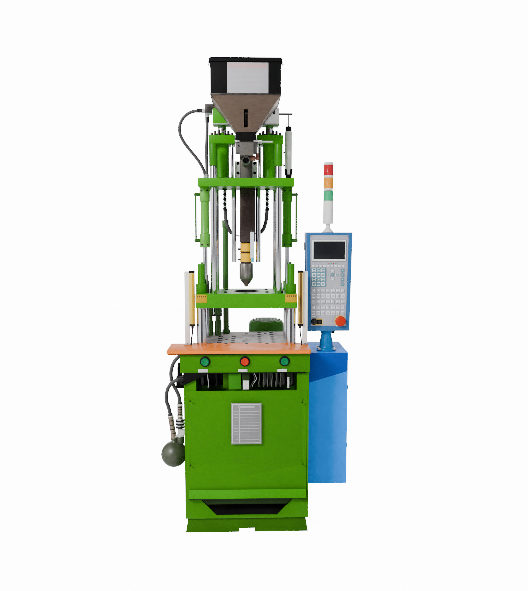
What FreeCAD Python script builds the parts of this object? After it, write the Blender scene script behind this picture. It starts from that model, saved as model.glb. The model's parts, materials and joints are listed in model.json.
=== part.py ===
"""Small vertical injection moulding machine, as a parametric document in millimetres.

X runs to the operator's right, Y away from the operator and Z up.  The origin lies on the floor, on the
axis of the injection screw.  Every driving size is a row of SIZES below, and each piece takes its own
sizes and its place from those rows.
"""
import FreeCAD
import Part
import math
import os
import re
import Sketcher

from FreeCAD import Vector

# Sizes: alias, millimetres (or a count, or a formula of other sizes), what it measures.
SIZES = [
    # base
    ("base_width", 610, "outer width of the base cabinet"),
    ("base_front", 240, "front wall of the base, in front of the screw axis"),
    ("base_back", 380, "back wall of the base, behind the screw axis"),
    ("base_wall", 5, "plate of the base cabinet"),
    ("skirt_height", 72, "height of the flared foot frame"),
    ("skirt_taper", 12, "how far the foot frame flares out on each side"),
    ("skirt_wall", 10, "plate of the foot frame"),
    ("skirt_notch_width", 78, "hand notch in the foot frame's front"),
    ("skirt_notch_height", 18, "height of that notch"),
    ("cross_member_width", 90, "middle cross member of the foot frame"),
    ("cabinet_top", 722, "top edge of the front panel"),
    ("lip_top", 233, "where the front panel starts to lean out"),
    ("lip_bottom", 182, "bottom edge of the front panel's lip"),
    ("lip_reach", 16, "how far the lip leans out"),
    ("panel_thickness", 3, "front panel sheet"),
    ("panel_side_gap", 10, "front panel's distance from the base's edges"),
    ("panel_screw_inset", 18, "front panel's screw distance from its side edge"),
    ("panel_screw_high", 672, "height of the upper screws"),
    ("panel_screw_low", 350, "height of the lower screws"),
    ("panel_screw_radius", 4, "front panel's screw hole"),
    ("chute_top_width", 480, "top width of the drop chute's mouth"),
    ("chute_bottom_width", 302, "bottom width of the drop chute's mouth"),
    ("chute_bottom", 88, "bottom edge of the drop chute's mouth"),
    ("chute_depth", 260, "how far the chute reaches into the base"),
    ("recess_side", 60, "width of the wings beside the hose recess"),
    ("recess_post_left", 108, "left edge of the recess's post, left of the axis"),
    ("recess_post_width", 96, "width of the recess's post and plate"),
    # beam and tables
    ("beam_bottom", 814, "underside of the button beam"),
    ("beam_left", 322, "left end of the button beam"),
    ("beam_right", 308, "right end of the button beam"),
    ("beam_front", 250, "front face of the button beam"),
    ("beam_depth", 90, "depth of the button beam"),
    ("beam_wall", 6, "plate of the button beam"),
    ("table_top", 925, "working height of both tables"),
    ("table_thickness", 16, "front work table's plate"),
    ("table_left", 384, "left end of the front work table"),
    ("table_right", 312, "right end of the front work table"),
    ("table_front", 270, "front edge of the front work table"),
    ("table_back", 65, "joint between the front table and the lower platen"),
    ("table_corner", 12, "corner radius of the front work table"),
    ("lower_platen_margin", 3, "how far the lower platen stands out past the moving platen"),
    ("lower_platen_width", "=platen_width + 2 * lower_platen_margin", "width of the lower platen"),
    ("lower_platen_back", 300, "back edge of the lower platen"),
    ("lower_platen_thickness", 65, "thickness of the lower platen"),
    ("lower_platen_front", 155, "front edge of the lower platen, under the front table"),
    ("bearer_width", 70, "width of the blocks that carry the lower platen"),
    ("bearer_height", 70, "height of those blocks"),
    ("bearer_depth", 100, "depth of those blocks"),
    ("mould_bolt_radius", 6, "tapped holes for mould clamps"),
    ("mould_bolt_depth", 25, "depth of the tapped holes"),
    ("mould_bolt_space_wide", 70, "spacing of the tapped holes across"),
    ("mould_bolt_space_deep", 60, "spacing of the tapped holes front to back"),
    ("mould_bolt_offset", 20, "first row of tapped holes, behind the axis"),
    ("upper_bolt_x", 105, "moving platen's tapped holes from the axis, across"),
    ("upper_bolt_y", 99, "moving platen's tapped holes from the axis, front to back"),
    ("ejector_bore", 25, "radius of the ejector bore in the lower platen"),
    # clamp
    ("pull_rod_radius", 25, "pull rods between clamp cylinders and moving platen"),
    ("pull_rod_inset", 27, "pull rods' distance from the moving platen's edge"),
    ("pull_rod_x", "=platen_width / 2 - pull_rod_inset", "pull rods' distance from the axis, across"),
    ("pull_rod_y", 100, "pull rods' distance from the axis, front to back"),
    ("running_gap", 0.05, "radial clearance of a rod or shaft in its bore"),
    ("seat_gap", 0.3, "space between neighbours that do not slide"),
    ("clamp_tube_radius", 48, "outer radius of the clamp cylinders"),
    ("clamp_tube_bottom", 470, "lower end of the clamp cylinders"),
    ("clamp_floor", 30, "closed foot of a clamp cylinder"),
    ("clamp_collar", 40, "height of a clamp cylinder's upper collar"),
    ("clamp_reserve", 40, "space left under a pull rod at its lowest"),
    ("platen_width", 504, "width of the moving platen"),
    ("platen_depth", 310, "depth of the moving platen"),
    ("platen_bottom", 1117, "underside of the moving platen"),
    ("platen_thickness", 70, "thickness of the moving platen"),
    ("platen_corner", 8, "corner radius of the moving platen"),
    ("locating_bore", 65, "radius of the bore that the nozzle enters"),
    ("cap_low_radius", 27, "lower step of the pull rods' caps"),
    ("cap_low_height", 46, "height of that step"),
    ("cap_high_radius", 18, "upper step of the pull rods' caps"),
    ("cap_high_height", 100, "height of that step"),
    ("lift_inset", 50, "left lift cylinder's distance from the moving platen's edge"),
    ("lift_x", "=platen_width / 2 - lift_inset", "its distance from the axis"),
    ("lift_pitch", 45, "distance between the two lift cylinders"),
    ("lift_y", 190, "lift cylinders' distance behind the axis"),
    ("lift_tube_radius", 19, "outer radius of the lift cylinders"),
    ("lift_rod_radius", 15, "rods of the lift cylinders"),
    ("lift_tube_top", 1005, "upper end of the lift cylinders"),
    ("lift_lug_thickness", 30, "lug that joins the lift rods to the platen"),
    # injection carriage
    ("guide_rod_radius", 16, "rods that guide the injection carriage"),
    ("guide_rod_x", 160, "guide rods' distance from the axis, across"),
    ("guide_rod_y", 112, "guide rods' distance from the axis, front to back"),
    ("guide_cap_reserve", 15, "space between the raised plate and the caps on the guide rods"),
    ("guide_cap_height", 106, "length of those caps"),
    ("guide_cap_radius", 20, "radius of those caps"),
    ("guide_cap_depth", 60, "how far a guide rod reaches into its cap"),
    ("carriage_width", 470, "width of the injection carriage's plate"),
    ("carriage_depth", 290, "depth of that plate"),
    ("carriage_bottom", 1715, "underside of that plate"),
    ("carriage_thickness", 40, "thickness of that plate"),
    ("touch_inset", 27, "nozzle touch cylinders' distance from the carriage plate's edge"),
    ("touch_x", "=carriage_width / 2 - touch_inset", "their distance from the axis, across"),
    ("touch_y", 45, "their distance in front of the axis"),
    ("touch_tube_radius", 21, "outer radius of the touch cylinders"),
    ("touch_collar_radius", 26, "radius of their end collars"),
    ("touch_collar_height", 70, "height of an end collar"),
    ("touch_length", 300, "length of a touch cylinder below the plate"),
    ("touch_rod_radius", 11, "rod of a touch cylinder"),
    ("touch_rod_reach", 190, "how far that rod reaches into its cylinder"),
    ("touch_reserve", 15, "space left over that rod at its highest"),
    ("touch_pipe_radius", 4, "steel oil pipe beside a touch cylinder"),
    ("touch_pipe_offset", 20, "its distance from the cylinder's collar"),
    ("cylinder_x", 120, "injection cylinders' distance from the axis"),
    ("cylinder_cap_width", 130, "square end cap of an injection cylinder"),
    ("cylinder_cap_height", 42, "height of that cap"),
    ("cylinder_cap_bottom", 1930, "underside of that cap"),
    ("cylinder_tube_radius", 34, "tube of an injection cylinder"),
    ("cylinder_boss_radius", 44, "gland boss on the cap"),
    ("cylinder_boss_height", 12, "height of that boss"),
    ("tie_rod_offset", 50, "tie rods' distance from the cylinder's axis"),
    ("tie_rod_radius", 7, "tie rods of an injection cylinder"),
    ("injection_rod_radius", 20, "piston rods between crosshead and cylinders"),
    ("injection_rod_reach", 150, "how far a piston rod reaches into its cylinder"),
    ("flank_rod_x", 62, "rods beside the barrel, distance from the axis"),
    ("flank_rod_y", 20, "their distance in front of the axis"),
    ("flank_rod_radius", 12, "radius of those rods"),
    ("flank_rod_end", 1340, "their lower end"),
    # plasticising unit
    ("barrel_radius", 28, "outer radius of the barrel"),
    ("screw_radius", 15, "outer radius of the screw's flight"),
    ("screw_core_radius", 10, "radius of the screw's root"),
    ("screw_pitch", 30, "pitch of the screw's flight"),
    ("screw_flight", 5, "width of the flight's land"),
    ("flight_taper", 1.3, "flight's width at its root over that at its crest"),
    ("screw_turns", 14, "turns of the flight"),
    ("barrel_bottom", 1281, "lower end of the barrel"),
    ("barrel_top", 1861, "upper end of the barrel"),
    ("neck_radius", 32, "barrel's feed housing above the plate"),
    ("shroud_left", 32, "left side of the barrel's guard"),
    ("shroud_right", 48, "right side of the barrel's guard"),
    ("shroud_half_depth", 46, "half depth of the barrel's guard"),
    ("shroud_bottom", 1443, "lower edge of the barrel's guard"),
    ("shroud_wall", 2, "sheet of the barrel's guard"),
    ("heater_radius", 32, "outer radius of a heater band"),
    ("heater_height", 48, "height of a heater band"),
    ("heater_gap", 6, "gap between heater bands"),
    ("heater_bottom", 1338, "underside of the lowest heater band"),
    ("heater_count", 2, "heater bands that show below the guard"),
    ("nozzle_tip", 1211, "lowest point of the nozzle"),
    ("nozzle_radius", 35, "radius of the nozzle's head"),
    ("nozzle_tip_radius", 11, "ball end of the nozzle"),
    ("nozzle_bore", 2, "radius of the nozzle's orifice"),
    ("throat_plate_width", 114, "pale backing plate behind the barrel's neck"),
    ("throat_plate_height", 100, "its height"),
    ("feed_left", 31, "left face of the feed casting"),
    ("feed_right", 37, "right face of the feed casting"),
    ("feed_front", 152, "front face of the feed casting"),
    ("feed_height", 66, "height of the feed casting"),
    ("feed_bore", 24, "radius of the drop hole under the hopper"),
    ("drop_way_radius", 16.8, "radius of the slanting feed channel"),
    ("spout_radius", 20, "front clean-out spout"),
    ("spout_bore", 15, "radius of its mouth"),
    ("spout_drop", 28, "spout's axis below the feed casting"),
    ("gate_thickness", 8, "slide gate under the hopper"),
    ("gate_width", 70, "width of the slide gate"),
    ("gate_left", 54, "left end of the slide gate"),
    ("gate_right", 130, "right end of the slide gate's tongue"),
    ("gate_travel", 50, "travel of the slide gate"),
    ("gate_tongue", 28, "width of the slide gate's tongue"),
    ("hopper_y", 112, "hopper outlet's distance in front of the axis"),
    ("hopper_outlet", 48, "half width of the funnel's lower end"),
    ("hopper_flange_height", 36, "black flange under the funnel"),
    ("hopper_half_width", 160, "half width of the hopper's bin"),
    ("hopper_back", 62, "back wall of the bin, in front of the axis"),
    ("hopper_depth", 240, "depth of the bin"),
    ("funnel_height", 143, "height of the funnel"),
    ("bin_height", 156, "height of the bin"),
    ("hopper_wall", 2, "sheet of the hopper"),
    ("window_width", 18, "width of the sight window in the funnel"),
    ("window_height", 70, "height of that window"),
    ("lid_height", 14, "height of the lid's rim"),
    ("lid_overhang", 6, "how far the lid stands out"),
    ("hinge_radius", 4, "knuckle of the lid's hinge"),
    ("hinge_pin", 2, "pin of the lid's hinge"),
    ("hinge_half", 80, "half length of that hinge"),
    ("hinge_drop", 14, "height of the hinge's lugs on the bin"),
    # crosshead
    ("crosshead_bottom", 2026, "underside of the crosshead"),
    ("crosshead_height", 80, "height of the crosshead"),
    ("crosshead_depth", 76, "depth of the crosshead"),
    ("crosshead_half_width", 165, "half width of the crosshead"),
    ("motor_radius", 36, "hydraulic motor on the crosshead"),
    ("motor_height", 150, "height of that motor"),
    ("port_x", 188, "oil port block's distance left of the axis"),
    ("port_width", 36, "width of the port block"),
    ("port_height", 44, "height of the port block"),
    ("port_fitting", 14, "length of a hose fitting on the port block"),
    ("long_hose_z", 2102, "height of the long hose's fitting"),
    ("hose_out_y", 35, "short hose's distance behind the axis"),
    ("short_hose_x", 197, "short hose's distance left of the axis"),
    ("transducer_gap", 18, "room between an injection cylinder's cap and the position transducer"),
    ("transducer_x", "=cylinder_x + cylinder_cap_width / 2 + transducer_gap + transducer_radius",
     "transducer's distance from the axis"),
    ("transducer_radius", 14, "radius of the transducer's tube"),
    ("transducer_foot", 30, "height of its foot on the carriage plate"),
    ("transducer_cap", 24, "height of its upper cap"),
    ("transducer_step", 2, "how far the foot and the cap stand out from the tube"),
    ("transducer_y", 10, "its distance behind the axis"),
    ("transducer_top", 2026, "upper end of the transducer"),
    ("sensor_reach", 10, "what stays of its rod in the tube at the top of the stroke"),
    ("sensor_rod_radius", 4, "rod of the transducer"),
    # electrical cabinet and pendant
    ("cabinet_gap", 13, "space between the base and the electrical cabinet"),
    ("cabinet_width", 207, "width of the electrical cabinet"),
    ("cabinet_left", "=base_width / 2 + cabinet_gap", "left face of the electrical cabinet"),
    ("cabinet_right", "=cabinet_left + cabinet_width", "right face of the electrical cabinet"),
    ("cabinet_front", 60, "front face of the electrical cabinet"),
    ("cabinet_back", 260, "back face of the electrical cabinet"),
    ("cabinet_low", 170, "underside of the electrical cabinet"),
    ("cabinet_high", 872, "top of the electrical cabinet"),
    ("pedestal_inset", 104, "pendant's swivel axis, from the cabinet's right face"),
    ("pedestal_x", "=cabinet_right - pedestal_inset", "its distance right of the screw axis"),
    ("pedestal_y", 10, "pendant's swivel axis, behind the screw axis"),
    ("pedestal_foot_radius", 50, "foot flange of the pedestal"),
    ("pedestal_neck_radius", 29, "neck of the pedestal"),
    ("pedestal_body_radius", 34, "belly of the pedestal"),
    ("pedestal_height", 110.7, "height of the pedestal"),
    ("pedestal_flange", 12, "thickness of its foot flange"),
    ("pedestal_flare", 4, "flare above the flange"),
    ("pedestal_waist", 3, "how far the neck draws in"),
    ("pedestal_waist_drop", 24, "narrowest place, below the control box"),
    ("pedestal_lip", 2, "how far the head's rim stands out from the belly"),
    ("pedestal_lip_height", 6, "height of that rim"),
    ("pedestal_belly_low", 30, "lower edge of its belly, above the cabinet"),
    ("pedestal_belly_high", 50, "upper edge of its belly"),
    ("pedestal_neck_low", 68, "lower end of its neck"),
    ("pedestal_head", 14, "height of its head under the control box"),
    ("swivel_pin_radius", 12, "pin that the pendant turns on"),
    ("swivel_pin_height", 30, "height of that pin"),
    ("pendant_height", 508, "height of the control box"),
    ("pendant_top_width", 236, "width of the control box at its top"),
    ("pendant_bottom_width", 218, "width of the control box at its bottom"),
    ("pendant_depth", 105, "depth of the control box"),
    ("pendant_rim", 18, "rim of the control box round its face"),
    ("pendant_rim_low", 23.4, "rim below the face"),
    ("pendant_rim_high", 12.6, "rim above the face"),
    ("pendant_offset", 4, "middle of the control box, right of its swivel axis"),
    ("screen_left", 80, "left edge of the screen from the box's middle"),
    ("screen_right", 78, "right edge of the screen from the box's middle"),
    ("screen_low", 140, "lower edge of the screen, below the box's top"),
    ("screen_high", 48, "upper edge of the screen, below the box's top"),
    ("screen_frame", 8, "width of the frame round the screen"),
    ("mushroom_offset", 64, "stop button, right of the swivel axis"),
    ("mushroom_level", 52.2, "stop button above the box's lower edge"),
    ("selector_offset", 71, "key switch, left of the swivel axis"),
    ("selector_level", 48.6, "key switch above the box's lower edge"),
    ("face_thickness", 4, "control panel's sheet"),
    ("tower_radius", 25, "radius of the signal tower"),
    ("tower_offset", 3, "axis of the tower, right of the swivel axis"),
    ("tower_dome_radius", 30, "dome under the tower"),
    ("tower_stem_radius", 10, "stem of the tower and core of its lamps"),
    ("tower_groove", 2.5, "depth of the grooves between the lamps"),
    ("lamp_height", 52, "height of one lamp of the tower"),
    ("lamp_gap", 13, "ring between two lamps"),
    ("tower_body_height", 117, "white body under the lamps"),
    ("tower_foot_height", 45, "stem and dome under the tower"),
    # controls
    ("button_shift", 8, "middle button's distance left of the axis"),
    ("button_x", 192, "start buttons' distance from the axis"),
    ("button_z", 870, "height of the buttons"),
    ("button_radius", 15, "radius of a button's head"),
    ("button_head", 12, "length of a button's head"),
    ("button_stem_radius", 7, "stem of a button"),
    ("button_travel", 5, "travel of a button"),
    ("bezel_height", 6, "ring round a button"),
    ("mushroom_radius", 27, "head of the pendant's stop button"),
    ("mushroom_height", 22, "length of that head"),
    ("mushroom_front_radius", 21.6, "front face of that head"),
    ("mushroom_neck_radius", 16.2, "back of that head"),
    ("mushroom_skirt", 13.2, "length of its tapered back"),
    ("selector_radius", 13, "pendant's key switch"),
    ("selector_length", 16, "how far that switch stands out"),
    ("key_reach", 22, "how far the key stands out of the switch"),
    ("key_half", 10, "half height of the key's bow"),
    # rear and side equipment
    ("tank_half_width", 262, "half width of the oil tank"),
    ("tank_depth", 220, "depth of the oil tank"),
    ("tank_top", 540, "top of the oil tank"),
    ("tank_foot", 60, "height of the oil tank's feet"),
    ("motor_x", 120, "pump motor's distance from the axis"),
    ("pump_motor_radius", 106, "radius of the pump motor's cowl"),
    ("pump_motor_top", 971, "top of the pump motor's cowl"),
    ("riser_x", 115, "oil riser's distance left of the axis"),
    ("riser_y", 250, "oil riser's distance behind the axis"),
    ("riser_radius", 12, "radius of the oil riser"),
    ("riser_top", 1549, "top of the oil riser"),
    ("post_gap", 45, "light curtain posts' distance from the moving platen's edge"),
    ("post_x", "=platen_width / 2 + post_gap", "their distance from the axis"),
    ("post_y", 100, "their distance in front of the axis"),
    ("post_width", 24, "width of a post"),
    ("post_top", 1296, "top of the posts"),
    ("bar_width", 26, "width of a light curtain"),
    ("bar_bottom", 1022, "underside of a light curtain"),
    ("bar_top", 1300, "top of a light curtain"),
    ("accumulator_reach", 69, "accumulator's centre, out from the base's left side"),
    ("accumulator_x", "=base_width / 2 + accumulator_reach", "its distance left of the axis"),
    ("accumulator_y", 100, "its distance in front of the axis"),
    ("accumulator_z", 355, "height of its centre"),
    ("accumulator_radius", 66, "radius of the accumulator"),
    ("valve_low", 692, "underside of the valve block"),
    ("valve_height", 56, "height of the valve block"),
    ("valve_reach", 57, "how far the valve block stands out of the base"),
    ("valve_offset", 42, "relief valve's distance from the base"),
    ("valve_x", "=base_width / 2 + valve_offset", "its distance left of the axis"),
    ("valve_y", 40, "relief valve's distance in front of the axis"),
    ("valve_radius", 12, "relief valve's body"),
    ("valve_stem", 47, "height of the relief valve's body"),
    ("knob_radius", 9, "relief valve's knob"),
    ("knob_height", 24, "height of that knob"),
    ("coupling_reach", 37, "ribbed coupling's axis, out from the base's left side"),
    ("coupling_x", "=base_width / 2 + coupling_reach", "its distance left of the axis"),
    ("coupling_y", 96, "its distance in front of the axis"),
    ("coupling_radius", 22, "radius of the coupling's ribs"),
    ("coupling_core", 12.5, "radius of the coupling between its ribs"),
    ("coupling_pitch", 17, "spacing of the coupling's ribs"),
    ("coupling_rib", 9, "thickness of a rib"),
    ("coupling_rib_low", 46, "lowest rib over the coupling's lower end"),
    ("coupling_low", 446, "lower end of the coupling"),
    ("coupling_high", 540, "upper end of the coupling"),
    ("ferrule_high", 614, "upper end of the upright ferrule"),
    ("ferrule_lead", 40, "straight run of the lower hose above its ferrule"),
    ("hose_radius", 9, "thick oil hose"),
    ("small_hose_radius", 7.5, "oil hose of the screw motor"),
    ("crimp_radius", 13, "crimped ferrule of a thick hose"),
    ("crimp_ring", 2, "how far a ferrule's end ring stands out"),
    ("crimp_ring_height", 10, "height of that ring"),
    ("neck_height", 85, "top of the accumulator's neck over its centre"),
    ("neck_width", 16, "radius of the accumulator's neck"),
    ("ferrule_lean", 16, "how far the leaning ferrule leans out"),
    ("ferrule_rise", 113, "height of the leaning ferrule"),
    ("cable_radius", 3, "light curtain's cable"),
    ("conduit_radius", 8.5, "heater conduit"),
    ("conduit_x", 110, "heater conduits' distance from the axis at the plate"),
    ("conduit_y", 30, "their distance behind the axis"),
    # travels, for the lengths of bores and rods
    ("platen_down", 100, "downward travel of the moving platen"),
    ("platen_up", 60, "upward travel of the moving platen"),
    ("carriage_down", 70, "downward travel of the injection carriage"),
    ("carriage_up", 45, "upward travel of the injection carriage"),
    ("crosshead_up", 90, "upward travel of the crosshead"),
]

doc = FreeCAD.newDocument("InjectionMouldingMachine")
sheet = doc.addObject("Spreadsheet::Sheet", "Sizes")
for row, (alias, amount, note) in enumerate(SIZES, start=1):
    sheet.set(f"A{row}", str(amount))
    sheet.setAlias(f"A{row}", alias)
    sheet.set(f"B{row}", note)
doc.recompute()

ALIASES = {alias for alias, amount, note in SIZES}
sub_parts = []


def formula(text):
    """Turn a formula of aliases into an expression that reads the sheet."""
    def cell(match):
        word = match.group(0)
        return f"Sizes.{word}" if word in ALIASES else word
    return re.sub(r"[a-z]+(?:_[a-z]+)*", cell, str(text))


def size(text):
    """Return the number that a formula of aliases gives now."""
    return float(sheet.evalExpression(formula(text)))


def bind(item, place, text):
    """Tie one property of an object to a formula of aliases."""
    item.setExpression(place, formula(text))


def put(item, x, y, z):
    """Tie the place of an object to three formulas."""
    bind(item, "Placement.Base.x", x)
    bind(item, "Placement.Base.y", y)
    bind(item, "Placement.Base.z", z)
    return item


def box(name, x, y, z):
    """Block between the low and high formulas of each axis."""
    item = doc.addObject("Part::Box", name)
    bind(item, "Length", f"({x[1]}) - ({x[0]})")
    bind(item, "Width", f"({y[1]}) - ({y[0]})")
    bind(item, "Height", f"({z[1]}) - ({z[0]})")
    return put(item, x[0], y[0], z[0])


TURNS = {
    "z": FreeCAD.Rotation(),
    "x": FreeCAD.Rotation(Vector(0, 1, 0), 90),
    "y": FreeCAD.Rotation(Vector(1, 0, 0), -90),
}


def rod(name, radius, start, length, axis="z"):
    """Cylinder from a start point along one axis."""
    item = doc.addObject("Part::Cylinder", name)
    bind(item, "Radius", radius)
    bind(item, "Height", length)
    item.Placement = FreeCAD.Placement(Vector(), TURNS[axis])
    return put(item, *start)


def cone(name, low_radius, high_radius, start, length, axis="z"):
    """Truncated cone from a start point along one axis."""
    item = doc.addObject("Part::Cone", name)
    bind(item, "Radius1", low_radius)
    bind(item, "Radius2", high_radius)
    bind(item, "Height", length)
    item.Placement = FreeCAD.Placement(Vector(), TURNS[axis])
    return put(item, *start)


def ball(name, radius, centre):
    """Sphere about a centre point."""
    item = doc.addObject("Part::Sphere", name)
    bind(item, "Radius", radius)
    return put(item, *centre)


def fuse(name, *items):
    """One solid made of several."""
    item = doc.addObject("Part::MultiFuse", name)
    item.Shapes = list(items)
    item.Refine = True
    return item


def cut(name, base, *tools):
    """A solid with one or several others taken out."""
    item = doc.addObject("Part::Cut", name)
    item.Base = base
    item.Tool = tools[0] if len(tools) == 1 else fuse(f"{name}_tools", *tools)
    return item


def group(name, *items):
    """Separate solids that share one sub-part."""
    item = doc.addObject("Part::Compound", name)
    item.Links = list(items)
    return item


def keep(label, item):
    """Give a finished sub-part its name and note it for the export."""
    item.Label = label
    sub_parts.append(item)
    return item


def from_shape(name, shape):
    """Carry a shape made by Part's own functions."""
    item = doc.addObject("Part::Feature", name)
    item.Shape = shape
    return item


def plane(body, role):
    """Return one of a body's own origin planes."""
    return next(part for part in body.Origin.OriginFeatures if part.Role == role)


def drawing(body, role, name, points=(), circles=()):
    """Sketch of one closed outline of points and any circles, all tied to formulas.

    Each point is a pair of formulas.  Each circle is its centre's two formulas and its radius.
    """
    sketch = body.newObject("Sketcher::SketchObject", name)
    sketch.AttachmentSupport = [(plane(body, role), "")]
    sketch.MapMode = "FlatFace"
    spots = [Vector(size(across), size(up), 0) for across, up in points]
    for place, spot in enumerate(spots):
        sketch.addGeometry(Part.LineSegment(spot, spots[(place + 1) % len(spots)]))
    for place, (across, up) in enumerate(points):
        after = (place + 1) % len(points)
        sketch.addConstraint(Sketcher.Constraint("Coincident", place, 2, after, 1))
        tie_point(sketch, place, 1, across, up)
    for across, up, radius in circles:
        centre = Vector(size(across), size(up), 0)
        place = sketch.addGeometry(Part.Circle(centre, Vector(0, 0, 1), size(radius)))
        tie_point(sketch, place, 3, across, up)
        tie(sketch, Sketcher.Constraint("Radius", place, size(radius)), radius)
    return sketch


def tie(sketch, constraint, text):
    """Add one dimension to a sketch and tie it to a formula."""
    number = sketch.addConstraint(constraint)
    bind(sketch, f"Constraints[{number}]", text)


def tie_point(sketch, place, end, across, up):
    """Hold one point of a sketch at two formulas from its origin."""
    tie(sketch, Sketcher.Constraint("DistanceX", -1, 1, place, end, size(across)), across)
    tie(sketch, Sketcher.Constraint("DistanceY", -1, 1, place, end, size(up)), up)


def padded(name, role, points, length, circles=(), reverse=False):
    """Body with one outline pushed out to a length."""
    body = doc.addObject("PartDesign::Body", name)
    sketch = drawing(body, role, f"{name}_outline", points, circles)
    pad = body.newObject("PartDesign::Pad", f"{name}_pad")
    pad.Profile = sketch
    bind(pad, "Length", length)
    pad.Reversed = reverse
    body.Tip = pad
    return body


def turned(name, points, x, y):
    """Body turned about an upright axis, from an outline of radius and height."""
    body = doc.addObject("PartDesign::Body", name)
    sketch = drawing(body, "XZ_Plane", f"{name}_outline", points)
    turn = body.newObject("PartDesign::Revolution", f"{name}_turn")
    turn.Profile = sketch
    turn.ReferenceAxis = (sketch, ["V_Axis"])
    turn.Angle = 360
    body.Tip = turn
    bind(body, "Placement.Base.x", x)
    bind(body, "Placement.Base.y", y)
    return body


def round_uprights(body, radius, chosen):
    """Round the upright edges of a plate whose middles are chosen by a test."""
    doc.recompute()
    plate = body.Tip
    names = []
    for number, edge in enumerate(plate.Shape.Edges, start=1):
        straight = isinstance(edge.Curve, Part.Line)
        if straight and abs(edge.tangentAt(edge.FirstParameter).z) > 0.9 and chosen(edge.CenterOfMass):
            names.append(f"Edge{number}")
    fillet = body.newObject("PartDesign::Fillet", f"{body.Name}_corners")
    fillet.Base = (plate, names)
    bind(fillet, "Radius", radius)
    body.Tip = fillet


def rectangle(x, y):
    """Four corners from two pairs of formulas."""
    return [(x[0], y[0]), (x[1], y[0]), (x[1], y[1]), (x[0], y[1])]


def tube_along(points, radius, label):
    """Round tube on straight runs joined by tangent arcs, with each arc as large as its runs allow.

    The arc's radius is 0.45 of the shorter run divided by the tangent of half the turn.
    """
    spots = [Vector(*point) for point in points]
    edges = []
    start = spots[0]
    radii = []
    for before, corner, after in zip(spots, spots[1:], spots[2:]):
        inward = (corner - before).normalize()
        outward = (after - corner).normalize()
        turn = inward.getAngle(outward)
        shorter = min((corner - before).Length, (after - corner).Length)
        reach = 0.45 * shorter
        bend = reach / math.tan(turn / 2)
        radii.append(bend)
        arc_start = corner - inward * reach
        arc_end = corner + outward * reach
        middle = corner + (outward - inward).normalize() * (bend / math.cos(turn / 2) - bend)
        edges.append(Part.LineSegment(start, arc_start).toShape())
        edges.append(Part.Arc(arc_start, middle, arc_end).toShape())
        start = arc_end
    edges.append(Part.LineSegment(start, spots[-1]).toShape())
    path = Part.Wire(edges)
    first = (spots[1] - spots[0]).normalize()
    ring = Part.Wire([Part.makeCircle(radius, spots[0], first)])
    solid = path.makePipeShell([ring], True, False)
    ratio = solid.Volume / (math.pi * radius ** 2 * path.Length)
    text = ", ".join(f"{bend:.0f}" for bend in radii)
    print(f"{label}: length {path.Length:.0f}, volume ratio {ratio:.4f}, radii {text}")
    return solid


# ---------------------------------------------------------------------------------------------
# Foot frame: four flared walls with a hand notch in front, and a middle cross member
# ---------------------------------------------------------------------------------------------
def frustum(inset, low, high):
    """Solid between the foot frame's outlines, drawn in by an inset."""
    side = size("base_width") / 2 - inset
    front = -size("base_front") + inset
    back = size("base_back") - inset
    taper = size("skirt_taper")

    def outline(draw, height):
        corners = [(-side + draw, front + draw), (side - draw, front + draw),
                   (side - draw, back - draw), (-side + draw, back - draw)]
        return Part.makePolygon([Vector(x, y, height) for x, y in corners + corners[:1]])

    return Part.makeLoft([outline(0, low), outline(taper, high)], True, True)


def make_foot_frame():
    """Flared skirt of the base."""
    height = size("skirt_height")
    half_notch = size("skirt_notch_width") / 2
    reach = size("cross_member_width")
    walls = frustum(0, 0, height).cut(frustum(size("skirt_wall"), 0, height))
    notch = Part.makeBox(2 * half_notch, reach, size("skirt_notch_height"),
                         Vector(-half_notch, -size("base_front") - reach / 2, 0))
    half_length = size("base_width") / 2 - size("skirt_taper") - size("skirt_wall") / 2
    member = Part.makeBox(2 * half_length, reach, height * 0.8, Vector(-half_length, -reach / 2, 0))
    frame = walls.cut(notch).fuse(member).removeSplitter()
    keep("base_frame", from_shape("FootFrame", frame))


make_foot_frame()

# ---------------------------------------------------------------------------------------------
# Base cabinet: side walls with wings, back, floor, recess post, and the drop chute behind its mouth
# ---------------------------------------------------------------------------------------------
half = "base_width / 2"
inner = "base_width / 2 - base_wall"
cabinet_outer = box("CabinetOuter", (f"-{half}", half), ("-base_front", "base_back"),
                    ("skirt_height", "beam_bottom"))
cabinet_room = box("CabinetRoom", (f"-({inner})", inner),
                   ("-base_front + base_wall", "base_back - base_wall"),
                   ("skirt_height + base_wall", "beam_bottom + base_wall"))
cabinet_front = box("CabinetFront", ("-base_width / 2 + recess_side", "base_width / 2 - recess_side"),
                    ("-base_front - base_wall", "-base_front + 2 * base_wall"),
                    ("cabinet_top - lip_reach", "beam_bottom + base_wall"))
cabinet_back = box("CabinetBack", (f"-({inner}) + recess_side", f"{inner} - recess_side"),
                   ("base_back - 2 * base_wall", "base_back + base_wall"),
                   ("tank_top + recess_side", "beam_bottom + base_wall"))
mouth = padded("ChuteMouth", "XZ_Plane",
               [("-chute_bottom_width / 2", "chute_bottom"), ("chute_bottom_width / 2", "chute_bottom"),
                ("chute_top_width / 2", "lip_bottom"), ("-chute_top_width / 2", "lip_bottom")],
               "4 * base_wall")
put(mouth, "0", "-base_front + 2 * base_wall", "0")
front_window = box("FrontWindow", ("-base_width / 2 + recess_side", "base_width / 2 - recess_side"),
                   ("-base_front - base_wall", "-base_front + 2 * base_wall"),
                   ("lip_top + 2 * recess_side", "cabinet_top - recess_side"))
post = box("RecessPost", ("-recess_post_left", "-recess_post_left + recess_post_width"),
           ("-base_front + 2 * recess_side", "-base_front + 2 * recess_side + base_wall"),
           ("skirt_height", "beam_bottom"))
shell = cut("CabinetShell", cabinet_outer, cabinet_room, cabinet_front, cabinet_back, mouth, front_window)
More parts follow.
